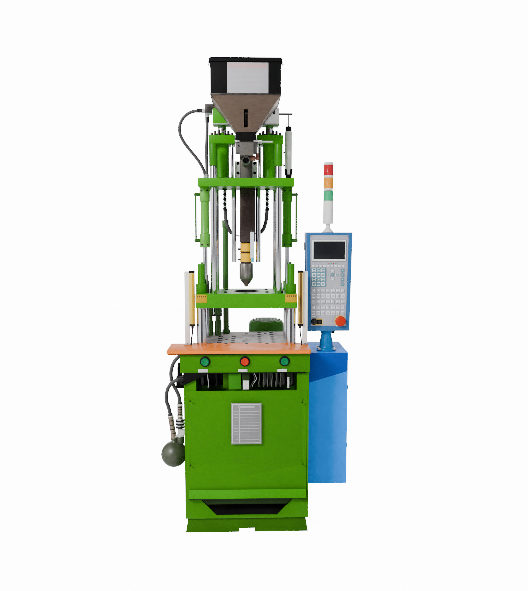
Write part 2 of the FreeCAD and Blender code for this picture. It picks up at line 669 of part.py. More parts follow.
shelf = padded("ChuteTray", "YZ_Plane",
               [("-base_front + base_wall", "chute_bottom - base_wall"),
                ("-base_front + base_wall", "chute_bottom"),
                ("-base_front + chute_depth", "lip_bottom + recess_side"),
                ("-base_front + chute_depth", "lip_bottom + recess_side - base_wall")],
               "base_width - 2 * base_wall")
put(shelf, f"-({inner})", "0", "0")

# Bearers on the side walls, which carry the lower platen in front of and behind the clamp cylinders
lower_low = "table_top - lower_platen_thickness"
bearers = []
for side in (-1, 1):
    wall = f"{side} * base_width / 2"
    inward = f"{side} * (base_width / 2 - bearer_width)"
    across = (wall, inward) if side < 0 else (inward, wall)
    for number, start in enumerate(("-bearer_depth / 2", "lower_platen_back - bearer_depth")):
        bearers.append(box(f"Bearer{side + 1}{number}", across, (start, f"{start} + bearer_depth"),
                           (f"{lower_low} - bearer_height", lower_low)))
keep("cabinet_shell", fuse("Cabinet", shell, post, shelf, *bearers))

# Front panel: one sheet whose lower lip leans out over the chute, with four screw holes
panel_half = "base_width / 2 - panel_side_gap"
panel_face = "-base_front - seat_gap"
panel = padded("FrontPanel", "YZ_Plane",
               [(panel_face, "cabinet_top"), (f"{panel_face} - panel_thickness", "cabinet_top"),
                (f"{panel_face} - panel_thickness", "lip_top"),
                (f"{panel_face} - panel_thickness - lip_reach", "lip_bottom"),
                (f"{panel_face} - lip_reach", "lip_bottom"), (panel_face, "lip_top")],
               f"2 * ({panel_half})")
put(panel, f"-({panel_half})", "0", "0")
screw_holes = []
for side in (-1, 1):
    for level in ("panel_screw_low", "panel_screw_high"):
        across = f"{side} * ({panel_half} - panel_screw_inset)"
        hole = rod(f"PanelHole_{level}_{'left' if side < 0 else 'right'}", "panel_screw_radius",
                   (across, "-base_front - 3 * panel_thickness", level), "4 * panel_thickness", "y")
        screw_holes.append(hole)
keep("front_panel", cut("Panel", panel, *screw_holes))

# Button beam: closed channel open at the back, with three button holes
beam = box("BeamOuter", ("-beam_left", "beam_right"), ("-beam_front", "-beam_front + beam_depth"),
           ("beam_bottom", "table_top - table_thickness"))
beam_room = box("BeamRoom", ("-beam_left + beam_wall", "beam_right - beam_wall"),
                ("-beam_front + beam_wall", "-beam_front + beam_depth + beam_wall"),
                ("beam_bottom + beam_wall", "table_top - table_thickness - beam_wall"))
BUTTON_PLACES = (("Left", "-button_shift - button_x"), ("Middle", "-button_shift"),
                 ("Right", "-button_shift + button_x"))
button_holes = []
for name, across in BUTTON_PLACES:
    hole = rod(f"ButtonHole{name}", "button_stem_radius + running_gap",
               (across, "-beam_front - beam_wall", "button_z"), "3 * beam_wall", "y")
    button_holes.append(hole)
bezels = []
for name, across in BUTTON_PLACES:
    bezels.append(rod(f"Bezel{name}", "button_radius + bezel_height / 2",
                      (across, "-beam_front - bezel_height / 2", "button_z"),
                      "bezel_height / 2 + beam_wall / 2", "y"))
keep("button_beam", cut("Beam", fuse("BeamBody", beam, *bezels), beam_room, *button_holes))

# ---------------------------------------------------------------------------------------------
# Tables
# ---------------------------------------------------------------------------------------------
table = padded("FrontTable", "XY_Plane",
               rectangle(("-table_left", "table_right"), ("-table_front", "-table_back - seat_gap")),
               "table_thickness")
round_uprights(table, "table_corner", lambda spot: spot.y < -size("table_back") - 9)
put(table, "0", "0", "table_top - table_thickness")
table_holes = []
for side in (-1, 1):
    hole = rod(f"TableHole{side + 1}", "pull_rod_radius + 2 * running_gap",
               (f"{side} * pull_rod_x", "-pull_rod_y", "table_top - 2 * table_thickness"),
               "3 * table_thickness")
    table_holes.append(hole)
keep("work_table", cut("Table", table, *table_holes))


def four(x, y):
    """Four places about the axis, from two distances."""
    return [(f"{a} * ({x})", f"{b} * ({y})", f"{'Left' if a < 0 else 'Right'}{'Front' if b < 0 else 'Back'}")
            for a in (-1, 1) for b in (-1, 1)]


def four_rods(name, radius, x, y, low, high):
    """Four equal upright cylinders about the axis."""
    return [rod(f"{name}{corner}", radius, (across, along, low), f"({high}) - ({low})")
            for across, along, corner in four(x, y)]


# Lower platen: a thick plate whose front step carries the work table, with tapped holes on top
lower_step = "table_top - table_thickness"
lower = padded("LowerPlaten", "YZ_Plane",
               [("-lower_platen_front", lower_low), ("lower_platen_back", lower_low),
                ("lower_platen_back", "table_top"), ("-table_back", "table_top"),
                ("-table_back", lower_step), ("-lower_platen_front", lower_step)],
               "lower_platen_width")
put(lower, "-lower_platen_width / 2", "0", "0")
mould_holes = []
for column in (-2, -1, 1, 2):
    for line in (-1, 0, 1, 2, 3, 4):
        hole = rod(f"MouldHole{column + 2}{line + 1}", "mould_bolt_radius",
                   (f"{column} * mould_bolt_space_wide",
                    f"{line} * mould_bolt_space_deep + mould_bolt_offset",
                    "table_top - mould_bolt_depth"), "2 * mould_bolt_depth")
        if not (line > 2 and column < 0):
            mould_holes.append(hole)
platen_bores = four_rods("PlatenBore", "pull_rod_radius + running_gap", "pull_rod_x", "pull_rod_y",
                         f"{lower_low} - base_wall", "table_top + base_wall")
lift_places = ("-lift_x", "-lift_x + lift_pitch")
lift_bores = [rod(f"LiftBore{number}", "lift_tube_radius + running_gap",
                  (across, "lift_y", f"{lower_low} - base_wall"), "2 * lower_platen_thickness")
              for number, across in enumerate(lift_places)]
ejector = rod("EjectorBore", "ejector_bore", ("0", "0", f"{lower_low} - base_wall"),
              "2 * lower_platen_thickness")
keep("lower_platen", cut("LowerPlatenBored", lower, ejector, *mould_holes, *platen_bores, *lift_bores))

# Clamp cylinders under the lower platen, each with a foot cap and a collar against the platen
clamp_solids = []
for across, along, corner in four("pull_rod_x", "pull_rod_y"):
    tube = rod(f"ClampTube{corner}", "clamp_tube_radius - base_wall",
               (across, along, "clamp_tube_bottom"), f"{lower_low} - clamp_tube_bottom")
    foot = rod(f"ClampFoot{corner}", "clamp_tube_radius",
               (across, along, "clamp_tube_bottom"), "clamp_floor")
    collar = rod(f"ClampCollar{corner}", "clamp_tube_radius",
                 (across, along, f"{lower_low} - clamp_collar"), "clamp_collar")
    bore = rod(f"ClampBore{corner}", "pull_rod_radius + running_gap",
               (across, along, "clamp_tube_bottom + clamp_floor"),
               f"{lower_low} - clamp_tube_bottom")
    clamp_solids.append(cut(f"Clamp{corner}", fuse(f"ClampBody{corner}", tube, foot, collar), bore))
keep("clamp_cylinders", group("ClampCylinders", *clamp_solids))

# Lift cylinders: two tubes that pass the lower platen behind the mould space
lift_solids = []
for number, across in enumerate(lift_places):
    tube = rod(f"LiftTube{number}", "lift_tube_radius",
               (across, "lift_y", "table_top - 2 * lower_platen_thickness"),
               "lift_tube_top - table_top + 2 * lower_platen_thickness")
    bore = rod(f"LiftRodBore{number}", "lift_rod_radius + running_gap",
               (across, "lift_y", "table_top - 2 * lower_platen_thickness + base_wall"),
               "lift_tube_top - table_top + 2 * lower_platen_thickness")
    lift_solids.append(cut(f"LiftCylinder{number}", tube, bore))
keep("lift_cylinders", group("LiftCylinders", *lift_solids))

# ---------------------------------------------------------------------------------------------
# Moving platen with its rods and caps
# ---------------------------------------------------------------------------------------------
platen = padded("MovingPlaten", "XY_Plane",
                rectangle(("-platen_width / 2", "platen_width / 2"),
                          ("-platen_depth / 2", "platen_depth / 2")),
                "platen_thickness", [("0", "0", "locating_bore")])
round_uprights(platen, "platen_corner", lambda spot: abs(spot.x) > size("platen_width") / 2 - 9)
put(platen, "0", "0", "platen_bottom")
lug = box("LiftLug", ("-lift_x - lift_tube_radius", "-lift_x + lift_pitch + lift_tube_radius"),
          ("platen_depth / 2 - base_wall", "lift_y + lift_tube_radius"),
          ("platen_bottom", "platen_bottom + lift_lug_thickness"))
platen_holes = []
for across, along, corner in four("upper_bolt_x", "upper_bolt_y"):
    platen_holes.append(rod(f"PlatenHole{corner}", "mould_bolt_radius",
                            (across, along, "platen_bottom - mould_bolt_depth"), "2 * mould_bolt_depth"))
keep("moving_platen", cut("MovingPlatenDrilled", fuse("MovingPlatenBody", platen, lug), *platen_holes))

platen_top = "platen_bottom + platen_thickness"
pull_low = "clamp_tube_bottom + clamp_floor + clamp_reserve + platen_down"
keep("pull_rods", group("PullRods", *four_rods("PullRod", "pull_rod_radius", "pull_rod_x", "pull_rod_y",
                                               pull_low, "platen_bottom")))
cap_low = "carriage_bottom + carriage_thickness + carriage_up + guide_cap_reserve"
keep("guide_rods", group("GuideRods",
                         *four_rods("GuideRod", "guide_rod_radius", "guide_rod_x", "guide_rod_y",
                                    platen_top, f"{cap_low} + guide_cap_depth")))
cap_solids = []
for across, along, corner in four("pull_rod_x", "pull_rod_y"):
    low = rod(f"CapLow{corner}", "cap_low_radius", (across, along, platen_top), "cap_low_height")
    high = rod(f"CapHigh{corner}", "cap_high_radius", (across, along, platen_top),
               "cap_low_height + cap_high_height")
    cap_solids.append(fuse(f"Cap{corner}", low, high))
for across, along, corner in four("guide_rod_x", "guide_rod_y"):
    sleeve = rod(f"GuideCapBody{corner}", "guide_cap_radius", (across, along, cap_low),
                 "guide_cap_height")
    socket = rod(f"GuideCapBore{corner}", "guide_rod_radius", (across, along, f"{cap_low} - base_wall"),
                 "guide_cap_depth + base_wall")
    cap_solids.append(cut(f"GuideCap{corner}", sleeve, socket))
keep("rod_caps", group("RodCaps", *cap_solids))

touch_places = [(f"{side} * touch_x", "-touch_y", "Left" if side < 0 else "Right") for side in (-1, 1)]
touch_low = "carriage_bottom - touch_length"
piston_solids = [rod(f"TouchRod{side}", "touch_rod_radius", (across, along, platen_top),
                     f"{touch_low} + touch_rod_reach - ({platen_top})")
                 for across, along, side in touch_places]
for number, across in enumerate(lift_places):
    piston_solids.append(rod(f"LiftRod{number}", "lift_rod_radius",
                             (across, "lift_y", "lift_tube_top - platen_up - 2 * base_wall"),
                             "platen_bottom - lift_tube_top + platen_up + 2 * base_wall"))
keep("piston_rods", group("PistonRods", *piston_solids))

# ---------------------------------------------------------------------------------------------
# Injection carriage
# ---------------------------------------------------------------------------------------------
carriage_top = "carriage_bottom + carriage_thickness"
guide_circles = [(across, along, "guide_rod_radius + running_gap")
                 for across, along, corner in four("guide_rod_x", "guide_rod_y")]
carriage = padded("Carriage", "XY_Plane",
                  rectangle(("-carriage_width / 2", "carriage_width / 2"),
                            ("-carriage_depth / 2", "carriage_depth / 2")),
                  "carriage_thickness",
                  [("0", "0", "barrel_radius + running_gap"), *guide_circles])
put(carriage, "0", "0", "carriage_bottom")
keep("carriage_plate", carriage)

cylinder_solids = []
for side, name in ((-1, "Left"), (1, "Right")):
    across = f"{side} * cylinder_x"
    edge = "cylinder_cap_width / 2"
    cap = box(f"CylinderCap{name}", (f"{across} - {edge}", f"{across} + {edge}"), (f"-{edge}", edge),
              ("cylinder_cap_bottom", "cylinder_cap_bottom + cylinder_cap_height"))
    foot = box(f"CylinderFoot{name}",
               (f"{across} - {edge} + 2 * base_wall", f"{across} + {edge} - 2 * base_wall"),
               (f"-{edge} + 2 * base_wall", f"{edge} - 2 * base_wall"),
               (carriage_top, f"{carriage_top} + 2 * base_wall"))
    tube = rod(f"CylinderTube{name}", "cylinder_tube_radius", (across, "0", carriage_top),
               f"cylinder_cap_bottom - ({carriage_top})")
    boss = rod(f"CylinderBoss{name}", "cylinder_boss_radius",
               (across, "0", "cylinder_cap_bottom + cylinder_cap_height"), "cylinder_boss_height")
    bore = rod(f"CylinderBore{name}", "injection_rod_radius + running_gap",
               (across, "0",
                "cylinder_cap_bottom + cylinder_cap_height - injection_rod_reach - 2 * base_wall"),
               "injection_rod_reach + cylinder_boss_height + 3 * base_wall")
    cylinder_solids.append(cut(f"InjectionCylinder{name}",
                               fuse(f"CylinderBody{name}", cap, foot, tube, boss), bore))
keep("injection_cylinders", group("InjectionCylinders", *cylinder_solids))

carriage_solids = []
for side, name in ((-1, "Left"), (1, "Right")):
    for a in (-1, 1):
        for b in (-1, 1):
            tie_rod = rod(f"TieRod{name}{a + 1}{b + 1}", "tie_rod_radius",
                          (f"{side} * cylinder_x + {a} * tie_rod_offset", f"{b} * tie_rod_offset",
                           f"{carriage_top} + 2 * base_wall"),
                          f"cylinder_cap_bottom - ({carriage_top}) - 2 * base_wall")
            carriage_solids.append(tie_rod)
    carriage_solids.append(rod(f"FlankRod{name}", "flank_rod_radius",
                               (f"{side} * flank_rod_x", "-flank_rod_y", "flank_rod_end"),
                               "carriage_bottom - flank_rod_end"))
keep("carriage_rods", group("CarriageRods", *carriage_solids))

touch_solids = []
pipe_solids = []
for across, along, side in touch_places:
    tube = rod(f"TouchTube{side}", "touch_tube_radius", (across, along, touch_low), "touch_length")
    top = rod(f"TouchTop{side}", "touch_collar_radius",
              (across, along, "carriage_bottom - touch_collar_height"), "touch_collar_height")
    low = rod(f"TouchLow{side}", "touch_collar_radius", (across, along, touch_low), "touch_collar_height")
    bore = rod(f"TouchBore{side}", "touch_rod_radius + running_gap",
               (across, along, f"{touch_low} - base_wall"),
               "touch_rod_reach + carriage_down + touch_reserve + base_wall")
    touch_solids.append(cut(f"TouchCylinder{side}", fuse(f"TouchBody{side}", tube, top, low), bore))
    way = -1 if side == "Left" else 1
    collar_face = f"{across} + {way} * touch_collar_radius"
    pipe_x = f"{collar_face} + {way} * touch_pipe_offset"
    high_z = "carriage_bottom - touch_collar_height / 2"
    low_z = f"{touch_low} + touch_collar_height / 2"
    pipe = rod(f"TouchPipe{side}", "touch_pipe_radius", (pipe_x, along, low_z), f"({high_z}) - ({low_z})")
    unions = []
    for number, level in enumerate((low_z, high_z)):
        start = collar_face if way > 0 else pipe_x
        unions.append(rod(f"TouchUnion{side}{number}", "2 * touch_pipe_radius", (start, along, level),
                          "touch_pipe_offset", "x"))
        unions.append(ball(f"TouchElbow{side}{number}", "2.2 * touch_pipe_radius", (pipe_x, along, level)))
    pipe_solids.append(cut(f"TouchPipeSolid{side}", fuse(f"TouchPipeBody{side}", pipe, *unions),
                           rod(f"TouchPipeSeat{side}", "touch_collar_radius", (across, along, touch_low),
                               "touch_length")))
keep("touch_cylinders", group("TouchCylinders", *touch_solids))
keep("touch_pipes", group("TouchPipes", *pipe_solids))

# Barrel with its feed housing, guard, heater bands and nozzle
barrel = turned("Barrel",
                [("screw_radius + 2 * running_gap", "barrel_bottom"), ("barrel_radius", "barrel_bottom"),
                 ("barrel_radius", carriage_top), ("neck_radius", carriage_top),
                 ("neck_radius", "barrel_top"), ("screw_radius + 2 * running_gap", "barrel_top")], "0", "0")
spout_z = "barrel_top - spout_drop + base_wall"
spout = rod("Spout", "spout_radius", ("0", "-feed_front", spout_z), "feed_front", "y")
spout_mouth = rod("SpoutMouth", "spout_bore", ("0", "-feed_front - base_wall", spout_z),
                  "feed_front / 2", "y")
screw_room = rod("ScrewRoom", "screw_radius + 2 * running_gap", ("0", "0", "barrel_bottom - base_wall"),
                 "barrel_top - barrel_bottom + 2 * base_wall")
keep("barrel", cut("BarrelBored", fuse("BarrelBody", barrel, spout), screw_room, spout_mouth))

shroud = box("ShroudOuter", ("-shroud_left", "shroud_right"), ("-shroud_half_depth", "shroud_half_depth"),
             ("shroud_bottom", "carriage_bottom"))
shroud_room = box("ShroudRoom", ("-shroud_left + shroud_wall", "shroud_right - shroud_wall"),
                  ("-shroud_half_depth + shroud_wall", "shroud_half_depth - shroud_wall"),
                  ("shroud_bottom - base_wall", "carriage_bottom + base_wall"))
keep("barrel_shroud", cut("Shroud", shroud, shroud_room))

heaters = []
for number in range(int(size("heater_count"))):
    low = f"heater_bottom + {number} * (heater_height + heater_gap)"
    band = rod(f"HeaterBand{number}", "heater_radius", ("0", "0", low), "heater_height")
    hole = rod(f"HeaterHole{number}", "barrel_radius + running_gap", ("0", "0", f"{low} - heater_gap"),
               "heater_height + 2 * heater_gap")
    split = box(f"HeaterSplit{number}", ("-heater_gap / 2", "heater_gap / 2"), ("0", "2 * heater_radius"),
                (f"{low} - heater_gap", f"{low} + heater_height + heater_gap"))
    heaters.append(cut(f"Heater{number}", band, hole, split))
keep("heater_bands", group("HeaterBands", *heaters))

nozzle = turned("Nozzle",
                [("nozzle_bore", "nozzle_tip"), ("nozzle_tip_radius * 0.6", "nozzle_tip"),
                 ("nozzle_tip_radius", "nozzle_tip + nozzle_tip_radius / 2"),
                 ("nozzle_tip_radius", "nozzle_tip + nozzle_tip_radius"),
                 ("nozzle_radius * 0.6", "nozzle_tip + 2 * nozzle_tip_radius"),
                 ("nozzle_radius", "nozzle_tip + 4 * nozzle_tip_radius"),
                 ("nozzle_radius", "heater_bottom - heater_gap"),
                 ("barrel_radius + running_gap", "heater_bottom - heater_gap"),
                 ("barrel_radius + running_gap", "barrel_bottom"), ("screw_radius", "barrel_bottom"),
                 ("nozzle_bore", "barrel_bottom - screw_radius")], "0", "0")
keep("nozzle", nozzle)

# Feed casting: block with ears, screw bore, slanted drop way and a pale backing plate
feed_top = "barrel_top + feed_height"
backing_front = "neck_radius + 7 * seat_gap"
block = box("FeedBlock", ("-feed_left", "feed_right"), ("-feed_front", f"{backing_front} + base_wall"),
            ("barrel_top", feed_top))
ears = box("FeedEars", ("-feed_left - 4 * base_wall", "feed_right + 4 * base_wall"),
           ("-hopper_y - 5 * base_wall", "-hopper_y + 5 * base_wall"),
           ("barrel_top + 3 * base_wall", f"{feed_top} - seat_gap"))
backing = box("FeedBacking", ("-throat_plate_width / 2", "throat_plate_width / 2"),
              (backing_front, f"{backing_front} + 2 * base_wall"),
              (carriage_top, f"{carriage_top} + throat_plate_height"))
web = box("FeedWeb", ("-feed_left", "feed_right"), (backing_front, f"{backing_front} + 2 * base_wall"),
          (f"{carriage_top} + throat_plate_height - base_wall", feed_top))
shank_room = rod("ShankRoom", "screw_radius + 2 * running_gap", ("0", "0", "barrel_top - base_wall"),
                 "feed_height + 2 * base_wall")
drop = rod("DropHole", "feed_bore", ("0", "-hopper_y", f"{feed_top} - feed_height / 2"), "feed_height")
way_length = math.hypot(size("hopper_y"), size("feed_height") / 2)
way_start = Vector(0, -size("hopper_y"), size(feed_top) - size("feed_height") / 2)
way_direction = Vector(0, size("hopper_y"), -size("feed_height") / 4)
slant = from_shape("DropWay",
                   Part.makeCylinder(size("drop_way_radius"), way_length, way_start, way_direction))
keep("feed_block", cut("FeedCasting", fuse("FeedBody", block, ears, backing, web), shank_room, drop, slant))

# Slide gate between the feed casting and the hopper's flange
gate_low = f"{feed_top} + seat_gap"
gate = padded("FeedGate", "XY_Plane",
              rectangle(("-gate_left", "gate_right"),
                        ("-hopper_y - gate_width / 2 + seat_gap", "-hopper_y + gate_width / 2 - seat_gap")),
              "gate_thickness - 2 * seat_gap", [("0", "-hopper_y", "feed_bore")])
put(gate, "0", "0", gate_low)
tongue_start = "gate_travel + feed_bore + base_wall"
tongue_cut = box("TongueCut", (tongue_start, "gate_right + base_wall"),
                 ("-hopper_y - gate_width", "-hopper_y - gate_tongue / 2"),
                 (feed_top, f"{feed_top} + gate_thickness"))
tongue_cut_back = box("TongueCutBack", (tongue_start, "gate_right + base_wall"),
                      ("-hopper_y + gate_tongue / 2", "-hopper_y + gate_width"),
                      (feed_top, f"{feed_top} + gate_thickness"))
keep("feed_gate", cut("Gate", gate, tongue_cut, tongue_cut_back))


# Hopper: flange with gate rails, pyramid funnel with an upright back, bin, all one welded shell
def loop(half_width, front, back, height):
    """Closed rectangle at one height."""
    corners = [Vector(-half_width, front, height), Vector(half_width, front, height),
               Vector(half_width, back, height), Vector(-half_width, back, height)]
    return Part.makePolygon(corners + corners[:1])


def hinge_point(across, back, bin_high):
    """Point on the lid's hinge axis, just behind the bin's back wall and level with its top."""
    return Vector(across, back + size("hinge_radius") * 1.25, bin_high + size("hinge_pin"))


def make_hopper():
    """Bin and funnel of one sheet thickness over the flange."""
    outlet = size("hopper_outlet")
    centre = -size("hopper_y")
    half_width = size("hopper_half_width")
    back = -size("hopper_back")
    front = back - size("hopper_depth")
    flange_low = size(feed_top) + size("gate_thickness")
    funnel_low = flange_low + size("hopper_flange_height")
    bin_low = funnel_low + size("funnel_height")
    bin_high = bin_low + size("bin_height")
    sheet_gauge = size("hopper_wall")
    bore = size("feed_bore")

    def hull(inset):
        low_loop = loop(outlet - inset, centre - outlet + inset, centre + outlet - inset, funnel_low)
        high_loop = loop(half_width - inset, front + inset, back - inset, bin_low)
        funnel = Part.makeLoft([low_loop, high_loop], True, True)
        room = Part.makeBox(2 * (half_width - inset), back - front - 2 * inset, bin_high - bin_low,
                            Vector(-half_width + inset, front + inset, bin_low))
        return funnel.fuse(room)

    walls = hull(0).cut(hull(sheet_gauge))
    flange = Part.makeBox(2 * outlet, 2 * outlet, funnel_low - flange_low,
                          Vector(-outlet, centre - outlet, flange_low))
    rails = []
    rail_depth = outlet - size("gate_width") / 2
    for edge in (centre - outlet, centre + outlet - rail_depth):
        rails.append(Part.makeBox(size("feed_left") + size("feed_right"), rail_depth,
                                  flange_low - size(feed_top),
                                  Vector(-size("feed_left"), edge, size(feed_top))))
    low_ring = Part.Wire([Part.makeCircle(bore, Vector(0, centre, flange_low - 1))])
    high_ring = Part.Wire([Part.makeCircle(outlet - 2 * sheet_gauge, Vector(0, centre, funnel_low + 1))])
    throat = Part.makeLoft([low_ring, high_ring], True, True)
    glass = size("window_width")
    window = Part.makeBox(glass, half_width, size("window_height"),
                          Vector(-glass / 2, front - 1, funnel_low + glass))
    lugs = []
    for side in (-1, 1):
        near, far = (size("hinge_half") / 2 + size("seat_gap"), size("hinge_half"))
        low_x = near if side > 0 else -far
        lugs.append(Part.makeBox(far - near, size("hinge_radius") * 1.25, size("hinge_drop"),
                                 Vector(low_x, back, bin_high + size("hinge_pin") - size("hinge_drop"))))
        lugs.append(Part.makeCylinder(size("hinge_radius"), far - near, hinge_point(low_x, back, bin_high),
                                      Vector(1, 0, 0)))
    lugs.append(Part.makeCylinder(size("hinge_pin"), 2 * size("hinge_half"),
                                  hinge_point(-size("hinge_half"), back, bin_high), Vector(1, 0, 0)))
    shape = walls.fuse([flange] + rails + lugs).cut(throat).cut(window)
    return shape.removeSplitter(), bin_high, front, back, half_width


hopper_shape, bin_high, bin_front, bin_back, bin_half = make_hopper()
keep("hopper", from_shape("Hopper", hopper_shape))


def make_lid():
    """Lid with a turned-down rim, hinged at the bin's back edge."""
    over = size("lid_overhang")
    gauge = size("hopper_wall")
    clear = size("seat_gap")
    depth = bin_back - bin_front
    top = Part.makeBox(2 * (bin_half + over), depth + over, gauge,
                       Vector(-bin_half - over, bin_front - over, bin_high + clear))
    rim_low = bin_high + clear + gauge - size("lid_height")
    rim_outer = Part.makeBox(2 * (bin_half + over), depth + over, size("lid_height"),
                             Vector(-bin_half - over, bin_front - over, rim_low))
    rim_inner = Part.makeBox(2 * (bin_half + over - gauge), depth + 3 * over, size("lid_height"),
                             Vector(-bin_half - over + gauge, bin_front - over + gauge,
                                    bin_high + clear - size("lid_height")))
    half_hinge = size("hinge_half") / 2
    axis_start = hinge_point(-half_hinge, bin_back, bin_high)
    tongue = Part.makeBox(2 * half_hinge, axis_start.y - bin_back + over, gauge,
                          Vector(-half_hinge, bin_back - over, bin_high + clear))
    knuckle = Part.makeCylinder(size("hinge_radius"), 2 * half_hinge, axis_start, Vector(1, 0, 0))
    pin_room = Part.makeCylinder(size("hinge_pin") + size("running_gap"), 2 * half_hinge, axis_start,
                                 Vector(1, 0, 0))
    lid = rim_outer.cut(rim_inner).fuse([top, tongue, knuckle]).cut(pin_room)
    return lid.removeSplitter()


keep("hopper_lid", from_shape("HopperLid", make_lid()))

# Position transducer: tube on the carriage plate with two end caps
transducer = turned("Transducer",
                    [("0", carriage_top), ("transducer_radius", carriage_top),
                     ("transducer_radius", f"{carriage_top} + transducer_foot"),
                     ("transducer_radius - transducer_step",
                      f"{carriage_top} + transducer_foot + 2 * transducer_step"),
                     ("transducer_radius - transducer_step",
                      "transducer_top - transducer_cap - transducer_step"),
                     ("transducer_radius", "transducer_top - transducer_cap"),
                     ("transducer_radius", "transducer_top"),
                     ("sensor_rod_radius + running_gap", "transducer_top"),
                     ("sensor_rod_radius + running_gap", "transducer_top - crosshead_up - 2 * sensor_reach"),
                     ("0", "transducer_top - crosshead_up - 2 * sensor_reach")],
                    "transducer_x", "transducer_y")
keep("transducer_body", transducer)

# Heater conduits from the carriage plate into the barrel's guard: offsets towards the guard, behind and down
CONDUIT_BENDS = {
    "left": [(0, 0, 0), (0, 0, 47), (1, 0, 95), (0, -1, 144), (0, -2, 191), (19, -3, 224), (52, -4, 243)],
    "right": [(0, 0, 0), (0, 0, 47), (1, 0, 95), (0, -1, 144), (0, -2, 192), (14.5, -3, 217),
              (39.6, -4, 231.5)],
}
conduit_solids = []
for way, guard, side in ((-1, "shroud_left", "left"), (1, "shroud_right", "right")):
    route = [(way * (size("conduit_x") - inward), size("conduit_y") + behind, size("carriage_bottom") - down)
             for inward, behind, down in CONDUIT_BENDS[side]]
    route.append((way * size(guard), route[-1][1], route[-1][2]))
    conduit_solids.append(from_shape(f"Conduit_{side}",
                                     tube_along(route, size("conduit_radius"), f"heater conduit {side}")))
keep("heater_conduits", group("HeaterConduits", *conduit_solids))

# ---------------------------------------------------------------------------------------------
# Crosshead with piston rods, screw motor, transducer bracket, and the screw
# ---------------------------------------------------------------------------------------------
crosshead_top = "crosshead_bottom + crosshead_height"
beam_half = "crosshead_half_width"
crosshead = padded("Crosshead", "XZ_Plane",
                   [(f"-{beam_half}", "crosshead_bottom"), (beam_half, "crosshead_bottom"),
                    (beam_half, crosshead_top), ("motor_radius + 4 * base_wall", crosshead_top),
                    ("motor_radius + 2 * base_wall", f"{crosshead_top} + base_wall"),
                    ("-motor_radius - 2 * base_wall", f"{crosshead_top} + base_wall"),
                    ("-motor_radius - 4 * base_wall", crosshead_top), (f"-{beam_half}", crosshead_top)],
                   "crosshead_depth")
put(crosshead, "0", "crosshead_depth / 2", "0")
shank_bore = rod("ShankBore", "screw_radius + running_gap", ("0", "0", "crosshead_bottom - base_wall"),
                 "crosshead_height + 3 * base_wall")
keep("crosshead", cut("CrossheadBored", crosshead, shank_bore))

injection_solids = []
for side, name in ((-1, "Left"), (1, "Right")):
    across = f"{side} * cylinder_x"
    low = "cylinder_cap_bottom + cylinder_cap_height - injection_rod_reach"
    piston = rod(f"InjectionRod{name}", "injection_rod_radius", (across, "0", low),
                 f"crosshead_bottom - ({low})")
    injection_solids.append(piston)
keep("injection_rods", group("InjectionRods", *injection_solids))

motor_low = f"{crosshead_top} + base_wall"
motor = rod("ScrewMotorBody", "motor_radius", ("0", "0", motor_low), "motor_height")
motor_foot = box("ScrewMotorFoot", ("-motor_radius", "motor_radius"), ("-motor_radius", "motor_radius"),
                 (motor_low, f"{motor_low} + 3 * base_wall"))
motor_cap = rod("ScrewMotorCap", "motor_radius * 0.7", ("0", "0", motor_low), "motor_height + 2 * base_wall")
port_bar = box("PortBar", ("-port_x", "-motor_radius / 2"), ("-2 * base_wall", "5 * base_wall"),
               (motor_low, f"{motor_low} + port_height / 2"))
port_block = box("PortBlock", ("-port_x - port_width / 2", "-port_x + port_width / 2"),
                 ("-2 * base_wall", "hose_out_y + 3 * base_wall"),
                 (f"{motor_low} - port_height / 2", f"{motor_low} + port_height / 2"))
long_fitting = rod("LongHoseFitting", "1.4 * small_hose_radius",
                   ("-port_x - port_width / 2 - port_fitting", "base_wall", "long_hose_z"),
                   "port_fitting + base_wall", "x")
short_fitting = rod("ShortHoseFitting", "1.4 * small_hose_radius",
                    ("-short_hose_x", "hose_out_y", f"{motor_low} - port_height / 2 - port_fitting"),
                    "port_fitting + base_wall")
motor_socket = rod("ScrewMotorSocket", "screw_core_radius + running_gap",
                   ("0", "0", f"{motor_low} - base_wall"), "motor_height / 3 + base_wall")
keep("screw_motor", cut("ScrewMotor", fuse("ScrewMotorParts", motor, motor_foot, motor_cap, port_bar,
                                  port_block, long_fitting, short_fitting), motor_socket))

# Bracket that carries the transducer's rod: a leg on the crosshead's end, an arm and the rod
arm_high = f"{crosshead_top} - 3 * base_wall"
leg = box("SensorLeg", (beam_half, f"{beam_half} + base_wall"), ("0", "4 * base_wall"),
          ("crosshead_bottom + base_wall", arm_high))
arm = box("SensorArm", (beam_half, "transducer_x + 4 * base_wall"), ("0", "4 * base_wall"),
          (f"{arm_high} - base_wall", arm_high))
sensor_low = "transducer_top - crosshead_up - sensor_reach"
sensor_rod = rod("SensorRod", "sensor_rod_radius", ("transducer_x", "transducer_y", sensor_low),
                 f"{arm_high} - ({sensor_low})")
keep("transducer_rod", fuse("TransducerRod", leg, arm, sensor_rod))


